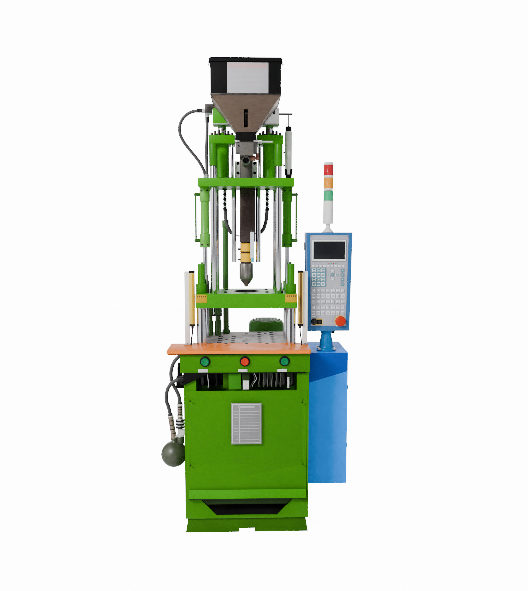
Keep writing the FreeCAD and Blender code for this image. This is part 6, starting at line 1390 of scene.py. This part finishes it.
@dataclass
class ElectricalCabinet:
    """Blue cabinet at the machine's right, with its door, vents and the console's pedestal."""

    door_inset: float = 7.0
    vent_rows: int = 9
    vent_pitch: float = 13.0
    # Heights of the painted shadow's sloping lower edge at the cabinet's left and right.
    shadow_left: float = 708.0
    shadow_right: float = 774.0
    stand_x: float = 421
    stand_y: float = 10

    def build(self) -> None:
        """Builds the cabinet, a darker blue sheet on its front as the table's painted shadow, and the pedestal."""
        refined("electrical_cabinet", "electrical_cabinet_box", BLUE, 2.2)
        refined("pendant_pedestal", "console_pedestal", STAND_BLUE, 1.2)
        low, high = extents("electrical_cabinet")
        self.doors(low, high)
        left, right, top = low.x + 1, high.x - 2, high.z - 1.5
        # A thin darker blue sheet over the top of the front is the table's painted shadow.
        shadow_sheet = Solid().slab([(left, low.y, top), (right, low.y, top), (right, low.y, self.shadow_right),
                             (left, low.y, self.shadow_left)], (0, -0.7, 0), SHADOW_BLUE, 0.2)
        shadow_sheet.piece("electrical_cabinet_painted_shadow", "blue_paint")
        bolts = Solid()
        for across, along in product((-40, 40), (-40, 40)):
            x, y = self.stand_x + across, self.stand_y + along
            bolts.turned([(9, 0), (9, 1.4), (0, 1.4)], (x, y, 882), STEEL).nut((x, y, 883), 6.5, 5.0, STEEL)
        bolts.turned([(33.4, 0), (35.6, 0.6), (35.6, 3.4), (33.4, 4), (33.4, 0)], (self.stand_x, self.stand_y, 1000),
                     BLACK_PLASTIC)
        bolts.piece("pedestal_bolts", "machined_steel")

    def doors(self, low: Vector, high: Vector) -> None:
        """Adds the right side's door with hinges and locks, the vents and the cable glands.

        Args:
            low: the cabinet's lowest corner.
            high: its highest corner.
        """
        inset, face = self.door_inset, high.x + 2.2
        solid = Solid()
        solid.block((high.x - 1, low.y + inset, low.z + inset), (face, high.y - inset, high.z - inset), BLUE, 1.0)
        solid.louvres((face, low.y + 90, low.z + 60), 140, self.vent_rows, self.vent_pitch, (5.3, 2), 8, BLUE)
        for height in (low.z + 70, high.z - 100):
            solid.rod((high.x + 3, high.y - 4, height), (high.x + 3, high.y - 4, height + 46), 4.5, STEEL)
        for height in (low.z + 200, high.z - 190):
            solid.turned([(12, 0), (12, 3), (10, 4.5), (0, 4.5)], (face, low.y + 26, height), DARK_STEEL, RIGHT)
            solid.block((high.x + 6.4, low.y + 24.2, height - 8), (high.x + 8.4, low.y + 27.8, height + 8), STEEL, 0.4)
        for row in range(6):
            bottom = high.z - 150 + row * 15
            solid.block((low.x + 50, high.y - 0.4, bottom), (high.x - 50, high.y + 1.2, bottom + 7), BLACK, 0.3)
        for across in (low.x + 60, low.x + 100, low.x + 140):
            solid.gland((across, low.y + 220, low.z), 12)
        solid.piece("electrical_cabinet_door", "blue_paint")


class KeyKind(Enum):
    """The kinds of key on the console."""

    PALE = PALE_KEYS
    TEAL = TEAL_KEYS


@dataclass
class Console:
    """Swivelling control box: blue case, grey face, screen, keys, key switch, stop button and tower."""

    face: float = -41.5
    key_height: float = 2.0
    pad_pitch: float = 23.5
    row_pitch: float = 25.2
    row_heights: tuple = (1193, 1165, 1136, 1106, 1077)
    bezel: tuple = ((337, 1345, 344, 1453), (505, 1345, 511, 1453), (344, 1345, 505, 1354.5), (344, 1445, 505, 1453))
    glass: tuple = (343.6, 1354, 505.4, 1445.4)
    inner: tuple = ((343.6, 1354, 347, 1445.4), (502, 1354, 505.4, 1445.4), (347, 1354, 502, 1357),
                    (347, 1442, 502, 1445.4))
    lenses: tuple = ((1653.3, 1703, GREEN_LENS), (1716, 1769, AMBER_LENS), (1782, None, RED_LENS))
    lens_ribs: int = 9

    def build(self) -> None:
        """Builds the console's pieces."""
        refined("control_box", "console_case", FRAME_BLUE, 2.0)
        refined("control_face", "console_face_sheet", FACE, 0.6)
        self.screen()
        self.keys()
        self.case_fittings()
        self.stop_button()
        self.selector()
        self.tower()

    def screen(self) -> None:
        """Adds the white bezel, the dark glass and its inner frame."""
        solid = Solid()
        for spots, out, back, finish, bevel in ((self.bezel, 3.2, 0.2, WHITE_PLASTIC, 0.6),
                                                ((self.glass,), 1.4, 0.2, SCREEN, 0.2),
                                                (self.inner, 2.0, -1.2, BLACK_PLASTIC, 0.2)):
            for spot in spots:
                solid.panel(self.face, spot, out, back, finish, bevel)
        solid.piece("console_screen", "grey_face", "pendant")

    def key(self, solid: Solid, spot: tuple[float, float, float, float], kind: KeyKind, field: Finish = FACE) -> None:
        """Adds one key: a pale frame round a darker field with a small mark.

        Args:
            solid: the piece that it joins.
            spot: its left, bottom, right and top on the face.
            kind: which kind of key it is.
            field: the finish inside a pale key's frame.
        """
        left, bottom, right, top = spot
        across, height, wide = (left + right) / 2, (bottom + top) / 2, (right - left) * 0.22
        solid.panel(self.face, spot, self.key_height, 0.2, kind.value, 0.7)
        if kind is KeyKind.PALE:
            solid.panel(self.face, (left + 2.6, bottom + 2.6, right - 2.6, top - 2.6), self.key_height + 0.2,
                        0.1 - self.key_height, field, 0.1)
        solid.panel(self.face, (across - wide, height - 1.6, across + wide, height + 1.6), self.key_height + 0.4,
                    0.1 - self.key_height, WHITE_PLASTIC, 0.1)

    def keys(self) -> None:
        """Adds the key fields on their printed grounds."""
        pale, teal = KeyKind.PALE, KeyKind.TEAL
        solid = Solid().panel(self.face, (334, 1213, 410, 1311), 0.5, 0.2, TEAL_KEYS, 0.3)
        for left in (337 + column * 19.2 for column in range(9)):
            self.key(solid, (left, 1315.5, left + 13, 1324), pale)
        for column, row in product(range(3), range(4)):
            left, bottom = 338 + column * 24, 1217.5 + row * self.pad_pitch
            self.key(solid, (left, bottom, left + 18.5, bottom + 18.5), pale, TEAL_KEYS)
        for across, height in ((443, 1290), (443, 1256), (422, 1273), (464, 1273)):
            self.key(solid, (across - 8, height - 7, across + 8, height + 7), pale, TEAL_KEYS)
        self.key(solid, (436, 1266.5, 450, 1279.5), teal)
        for bottom in (1218 + row * self.pad_pitch for row in range(4)):
            self.key(solid, (486, bottom, 503, bottom + 16), teal)
        for (row, height), column in product(enumerate(self.row_heights), range(7)):
            left, wide = 337 + column * self.row_pitch, 18.5 if (column + row) % 3 else 15.5
            self.key(solid, (left, height - 9, left + wide, height + 9), pale)
        solid.panel(self.face, (341, 1054, 357, 1062), 0.6, 0.1, WHITE_PLASTIC, 0.2)
        solid.panel(self.face, (466, 1000, 474, 1062), 0.6, 0.1, PALE_KEYS, 0.2)
        for column in range(6):
            solid.turned([(0, 0), (2.1, 0), (2.1, 0.8), (0, 1.0)], (420 + column * 9, self.face, 1333),
                         GREEN_LENS if column % 3 else RED_LENS, FRONT, 12)
        solid.piece("console_keys", "grey_face", "pendant")

    def case_fittings(self) -> None:
        """Adds the face's screws, the case's seam, hinges, lock and rear vents."""
        low, high = extents("control_box")
        solid = Solid().screws(product((331, 519), (self.face,), (1012, 1240, 1472)), 3.2, STEEL)
        for height in (1040, 1400):
            solid.rod((low.x - 2, 30, height), (low.x - 2, 30, height + 40), 4.0, STEEL)
        solid.block((low.x - 0.8, low.y + 70, low.z + 2), (high.x + 0.8, low.y + 72.5, high.z - 2), BLACK_PLASTIC, 0.3)
        for bottom in range(1080, 1176, 12):
            solid.block((370, high.y - 0.4, bottom), (480, high.y + 1.0, bottom + 5), BLACK, 0.3)
        solid.lathe(0, [(11, 0), (11, 3), (9, 4)], (high.x, 20, 1240), DARK_STEEL, RIGHT)
        solid.gland((460, 30, low.z), 14)
        solid.piece("console_case_fittings", "blue_paint", "pendant")

    def stop_button(self) -> None:
        """Adds the mushroom button with its yellow ring."""
        low, high = extents("emergency_button")
        centre = (low + high) / 2
        tall = high.y - low.y
        profile = [(11, 0), (11, tall - 16), (19, tall - 15.5), (26, tall - 12.5), (27, tall - 9),
                   (25.5, tall - 4.5), (20, tall - 1.2), (12, tall)]
        head = Solid().lathe(0, profile, (centre.x, high.y, centre.z), RED_BUTTON, FRONT, 48)
        head.stand_in("red_mushroom_button", "emergency_button")
        seat = (centre.x, self.face, centre.z)
        ring = Solid().ring(11.6, 29, 1.5, seat, YELLOW, FRONT)
        ring.lathe(11.6, [(16, 1.5), (16, 2.5), (15, 3.2)], seat, BLACK_PLASTIC, FRONT)
        ring.piece("mushroom_button_ring", "yellow_paint", "pendant")

    def selector(self) -> None:
        """Adds the key switch with its black ring and yellow ground."""
        low, high = extents("key_switch")
        centre = (low + high) / 2
        refined("key_switch", "selector_key", DARK_STEEL, 0.5)
        ring = Solid().panel(self.face, (343, 1013, 396, 1047), 0.9, 0.1, YELLOW, 0.3)
        ring.panel(self.face, (366, 1017, 392, 1043), 1.5, -0.8, BLACK_PLASTIC, 0.3)
        ring.lathe(13.3, [(16.5, 0), (16.5, 4), (15.3, 5.5)], (centre.x, self.face - 0.7, centre.z), BLACK_PLASTIC,
                   FRONT)
        ring.lathe(0, [(8.5, 0), (8.5, 5), (7.5, 6)], (379, self.face - 1.4, 1030), DARK_STEEL, FRONT)
        ring.piece("selector_surround", "black_plastic", "pendant")

    def tower(self) -> None:
        """Adds the signal tower's case and its three ribbed lenses."""
        refined("signal_tower", "signal_tower_case", WHITE_PLASTIC, 0.5)
        low, high = extents("signal_lamps")
        lenses = Solid()
        radius = (high.x - low.x) / 2
        for bottom, top, finish in self.lenses:
            tall = (top or high.z) - bottom
            profile = [(radius - 4, 0)]
            for step in range(self.lens_ribs):
                base = tall * step / self.lens_ribs
                profile += [(radius - 0.9, base + 0.3), (radius, base + tall / self.lens_ribs * 0.5),
                            (radius - 0.9, base + tall / self.lens_ribs - 0.3)]
            profile += [(radius - 4, tall), (radius - 4, 0)]
            lenses.turned(profile, ((low.x + high.x) / 2, (low.y + high.y) / 2, bottom), finish, steps=48)
        lenses.stand_in("signal_lenses", "signal_lamps", smooth=20)


@dataclass
class LightCurtains:
    """Yellow light curtain bars on pale posts, with their cables."""

    window: tuple[float, float] = (1034.0, 1288.0)
    inner: float = 258.7
    outer: float = 284.7
    post_x: float = 297
    bar_x: float = 271
    bar_y: float = -114
    clip_heights: tuple[float, float] = (1060, 1262)
    cable_points: tuple = ((bar_x, bar_y, 1022), (bar_x, bar_y, 997), (274, -116, 971), (278, -118, 948),
                           (278, -118, 925))

    def build(self) -> None:
        """Builds the posts, the bars and the cables."""
        refined("curtain_posts", "curtain_post_sections", WHITE, 0.6)
        refined("curtain_bars", "curtain_bar_cases", YELLOW, 1.0)
        low, high = extents("curtain_bars")
        solid = Solid()
        for side, finish in ((-1, AMBER), (1, UMBER)):
            inner, outer, post = self.inner * side, self.outer * side, self.post_x * side
            left, right = sorted((inner * 1.006, inner - 11) if side < 0 else (outer - 18, outer - 5.5))
            solid.panel(low.y, (left, self.window[0], right, self.window[1]), 0.6, 0.3, finish, 0.3)
            left, right = sorted((inner, outer))
            for bottom, top in ((low.z - 0.5, low.z + 11), (high.z - 10, high.z + 0.5)):
                solid.block((left - 0.6, low.y - 0.8, bottom), (right + 0.6, high.y + 0.6, top), BLACK_PLASTIC, 1.0)
            solid.lathe(0, [(6.5, 0), (6.5, 9), (4.5, 13)], (self.bar_x * side, self.bar_y, low.z), DARK_STEEL,
                        DOWN)
            left, right = sorted((284 * side, 299 * side))
            for height in self.clip_heights:
                solid.block((left, -104, height - 9), (right, -100, height + 9), STEEL, 0.6)
                solid.screw((293 * side, -104, height), 3.6, DARK_STEEL)
            solid.block((post - 16, -120, TABLE_TOP), (post + 16, -80, TABLE_TOP + 6), STEEL, 0.8)
            solid.screws(product((post,), (-114, -86), (TABLE_TOP + 6,)), 3.6, DARK_STEEL, UP)
        solid.piece("curtain_fittings", "black_plastic")
        for side, node in ((-1, "curtain_cable_left"), (1, "curtain_cable_right")):
            route = [(across * side, along, height) for across, along, height in self.cable_points]
            Hose(node, f"{node}_jacket", route, 3.0, CABLE).build()


@dataclass
class Hose:
    """A hose or cable between two of the machine's own fittings."""

    node: str
    name: str
    route: Iterable[Point]
    radius: float
    finish: Finish
    moves: tuple[str, str] | None = None

    def build(self) -> None:
        line = route_line(self.route, 10)
        made = Solid().tube(line, self.radius, self.finish, 8).made(self.name, 50.0)
        if self.moves:
            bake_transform(made)
        else:
            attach(made, "frame")
        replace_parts(made, self.node)


@dataclass
class MotorHoses:
    """Two braided hoses from the crosshead's motor to the carriage plate, with their fittings."""

    radius: float = 7.5
    long_route: tuple = ((-220, 5, 2102), (-248, 5, 2102), (-285, 7, 2093), (-317, 12, 2069), (-336, 18, 2034),
                         (-338, 25, 1994), (-322, 32, 1957), (-290, 40, 1914), (-253, 48, 1872), (-225, 56, 1828),
                         (-211, 62, 1790), (-211, 62, 1755))
    short_route: tuple = ((-197, 35, 2075), (-197, 35, 2025), (-200, 34, 1965), (-203, 33, 1895), (-201, 32, 1825),
                          (-201, 32, 1755))
    crimp: tuple = ((10.2, 0), (10.2, 5), (9.4, 6), (9.4, 9), (10.2, 10), (10.2, 14), (9.4, 15), (9.4, 18), (10.0, 19),
                    (10.0, 24), (8.3, 26))

    def build(self) -> None:
        """Builds the hoses and their crimped ends."""
        for node, name, route in (("motor_hose_long", "long_motor_hose", self.long_route),
                                  ("motor_hose_short", "short_motor_hose", self.short_route)):
            Hose(node, name, route, self.radius, RUBBER, moves=("crosshead", "carriage")).build()
        lower = Solid()
        for x, y, z in (self.long_route[-1], self.short_route[-1]):
            lower.nut((x, y, z), 11.0, 8.0, STEEL).lathe(0, self.crimp, (x, y, z + 8), STEEL)
        lower.piece("motor_hose_lower_ends", "machined_steel", "carriage")
        side, sole = Vector(self.long_route[0]), Vector(self.short_route[0])
        upper = Solid().lathe(0, self.crimp, side - Vector((0.5, 0, 0)), DARK_STEEL, LEFT)
        upper.lathe(0, self.crimp, sole, DARK_STEEL, DOWN)
        upper.nut(side, 10.5, 7.0, DARK_STEEL, RIGHT).nut(sole - Vector((0, 0, 1)), 10.5, 6.0, PALE, UP)
        upper.piece("motor_hose_upper_ends", "machined_steel", "crosshead")


@dataclass
class SideHydraulics:
    """Accumulator, coupling, valve and two thick hoses at the left side."""

    hose_radius: float = 9.0
    upper_route: tuple = ((-255, -85, 886), (-295, -85, 886), (-338, -86, 869), (-370, -87, 836), (-386, -89, 793),
                          (-386, -91, 749), (-373, -93, 711), (-353, -95, 677), (-342, -96, 644), (-342, -96, 614))
    lower_route: tuple = ((-305, -116, 752), (-339, -116, 752), (-374, -115, 738), (-398, -113, 709),
                          (-409, -109, 672), (-410, -104, 632), (-395.6, -100, 592.6), (-390, -100, 553))
    crimps: tuple = (((-374, -100, 440), (-390, -100, 553)), ((-342, -96, 552), (-342, -96, 612)))
    core: Point = (-342, -96, 446)

    def build(self) -> None:
        """Builds the side's pieces."""
        refined("accumulator", "accumulator_vessel", OLIVE, 0.0)
        refined("hose_fittings", "hose_crimps", FERRULE, 0.8, self.fitting_finish)
        refined("valve_block", "valve_block_body", BLACK, 1.2)
        refined("relief_knob", "relief_knob_cap", BLACK_PLASTIC, 0.8)
        Hose("upper_side_hose", "upper_braided_hose", self.upper_route, self.hose_radius, RUBBER).build()
        Hose("lower_side_hose", "lower_braided_hose", self.lower_route, self.hose_radius, RUBBER).build()
        self.details()

    def fitting_finish(self, middle: Vector) -> Finish:
        """Gives the coupling's core pale metal, its ribs dark steel and the ferrules brown metal."""
        if middle.x < -366 or middle.z > 541:
            return FERRULE
        ribs = math.hypot(middle.x - self.core[0], middle.y - self.core[1]) > 14 and middle.z > 480
        return DARK_STEEL if ribs else TAG

    def details(self) -> None:
        """Adds the crimps' dark and white rings, the vessel's neck, the hoses' ends and the valve's ports."""
        solid = Solid()
        for low, high in self.crimps:
            low, high = Vector(low), Vector(high)
            half = (high - low).normalized() * 2.0
            for share in (0.22, 0.42, 0.62, 0.82):
                place = low + (high - low) * share
                solid.rod(place - half, place + half, 13.9, DARK_STEEL, bevel=0.5)
            for place in (low + half, high + half):
                solid.rod(place - half * 1.6, place + half * 1.6, 14.6, WHITE_PLASTIC, bevel=1.0)
            solid.rod(high + half * 2.6, high + half * 6, 12.2, DARK_STEEL, bevel=1.0)
        x, y, z = self.core
        solid.rod(self.core, (x, y, z - 38), 20.0, OLIVE, bevel=4.0).nut(self.core, 22.0, 10.0, TAG)
        solid.nut((-305.3, -116, 752), 15.0, 12.0, DARK_STEEL, LEFT)
        solid.lathe(9.2, [(12.5, 0), (12.5, 4), (11.6, 5), (11.6, 8), (12.5, 9), (12.5, 26), (11, 28)],
                    (-317, -116, 752), DARK_STEEL, LEFT)
        solid.nut((-255.3, -85, 886), 15.0, 10.0, STEEL, LEFT)
        solid.lathe(9.2, [(12.5, 0), (12.5, 22), (11, 24)], (-265, -85, 886), STEEL, LEFT)
        solid.screws(product((-362.3,), (-58, -22), (700, 740)), 4.5, DARK_STEEL, LEFT)
        solid.disc(9, 6, (-333, -70, 720), DARK_STEEL, FRONT).nut((-333, -76, 720), 7.5, 6.0, DARK_STEEL, FRONT)
        solid.piece("side_fittings", "machined_steel")


@dataclass
class RearUnit:
    """Oil tank with its pump motor, and the riser pipe behind the platens."""

    fan_x: float = 120.0
    fan_y: float = 490.0
    fins: int = 44
    fin_span: tuple[float, float] = (84, 97)
    riser_x: float = -115
    riser_y: float = 250

    def build(self) -> None:
        """Builds the tank, the motor and the riser."""
        refined("oil_tank", "oil_tank_body", CABINET_GREEN, 2.0)
        refined("pump_motor", "pump_motor_case", MOTOR_GREEN, 1.0)
        refined("riser_pipe", "riser_pipe_tube", PIPE_GREEN, 0.6)
        cap = Solid().lathe(12.3, [(17, 0), (17, 12), (15, 14)], (self.riser_x, self.riser_y, 1533), BLACK_PLASTIC)
        cap.ring(12.2, 15.5, 590, (self.riser_x, self.riser_y, 943), PIPE_GREEN)
        cap.piece("riser_cap", "dark_green_paint")
        self.motor_details()
        self.tank_details()

    def motor_details(self) -> None:
        """Adds the cooling fins, the terminal box and the cowl's grille."""
        low, high = extents("pump_motor")
        x, y = self.fan_x, self.fan_y
        base = Vector((x, y, low.z + 60))
        solid = Solid()
        for number in range(self.fins):
            angle = math.tau * number / self.fins
            out = Vector((math.cos(angle), math.sin(angle), 0))
            side = Vector((-out.y, out.x, 0)) * 1.3
            inner, outer = (base + out * reach for reach in self.fin_span)
            solid.slab([inner - side, outer - side, outer + side, inner + side], (0, 0, 240), PIPE_GREEN, 0.4)
        solid.block((x - 34, low.y - 2, low.z + 130), (x + 34, low.y + 26, low.z + 220), PIPE_GREEN, 3.0)
        solid.screws(product((x - 26, x + 26), (low.y - 2,), (low.z + 140, low.z + 210)), 3.4, DARK_STEEL)
        solid.nut((x + 34, low.y + 12, low.z + 150), 10.0, 9.0, BLACK_PLASTIC, RIGHT)
        for inside in (24, 42, 60, 78):
            solid.ring(inside, inside + 6, 0.9, (x, y, high.z - 0.1), BLACK)
        solid.piece("pump_motor_fins", "dark_green_paint")

    def tank_details(self) -> None:
        """Adds the level gauge, the filler cap, the drain plug, the cooler plate and the cover's bolts."""
        low, high = extents("oil_tank")
        back = high.y
        solid = Solid()
        solid.block((low.x + 60, back - 0.5, 330), (low.x + 88, back + 5, 480), STEEL, 1.2)
        solid.block((low.x + 67, back + 3.5, 345), (low.x + 81, back + 6.2, 465), SCREEN, 0.6)
        solid.lathe(0, [(30, 0), (30, 6), (24, 8), (24, 34), (22, 38)], (low.x + 90, 470, high.z), STEEL)
        solid.nut((0, back, 130), 17.0, 12.0, STEEL, BACK)
        solid.screws(product((low.x + 16, -90, 10, high.x - 16), (low.y + 16, back - 16), (high.z,)), 6.0, DARK_STEEL,
                     UP)
        solid.block((20, back - 0.5, 200), (220, back + 3, 400), CABINET_GREEN, 1.0)
        solid.screws(product((34, 206), (back + 3,), (214, 386)), 6.0, DARK_STEEL, BACK)
        solid.piece("oil_tank_fittings", "green_paint")


def main() -> None:
    """Builds every sub-assembly over the CAD frame."""
    logging.basicConfig(level=logging.INFO, format="%(message)s")
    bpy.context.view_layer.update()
    for assembly in (Studio(), BaseCabinet(), ButtonBeam(), Tables(), ClampUnit(), InjectionCarriage(), Plasticiser(),
                     Hopper(), CrossheadUnit(), Transducer(), MotorHoses(), ElectricalCabinet(), Console(),
                     LightCurtains(), SideHydraulics(), RearUnit()):
        LOG.info("building %s", type(assembly).__name__)
        assembly.build()
    left = [name for name, node in frame["nodes"].items() if not node.hide_render]
    if left:
        LOG.warning("plain CAD nodes still shown: %s", ", ".join(sorted(left)))


if __name__ == "__main__":
    main()
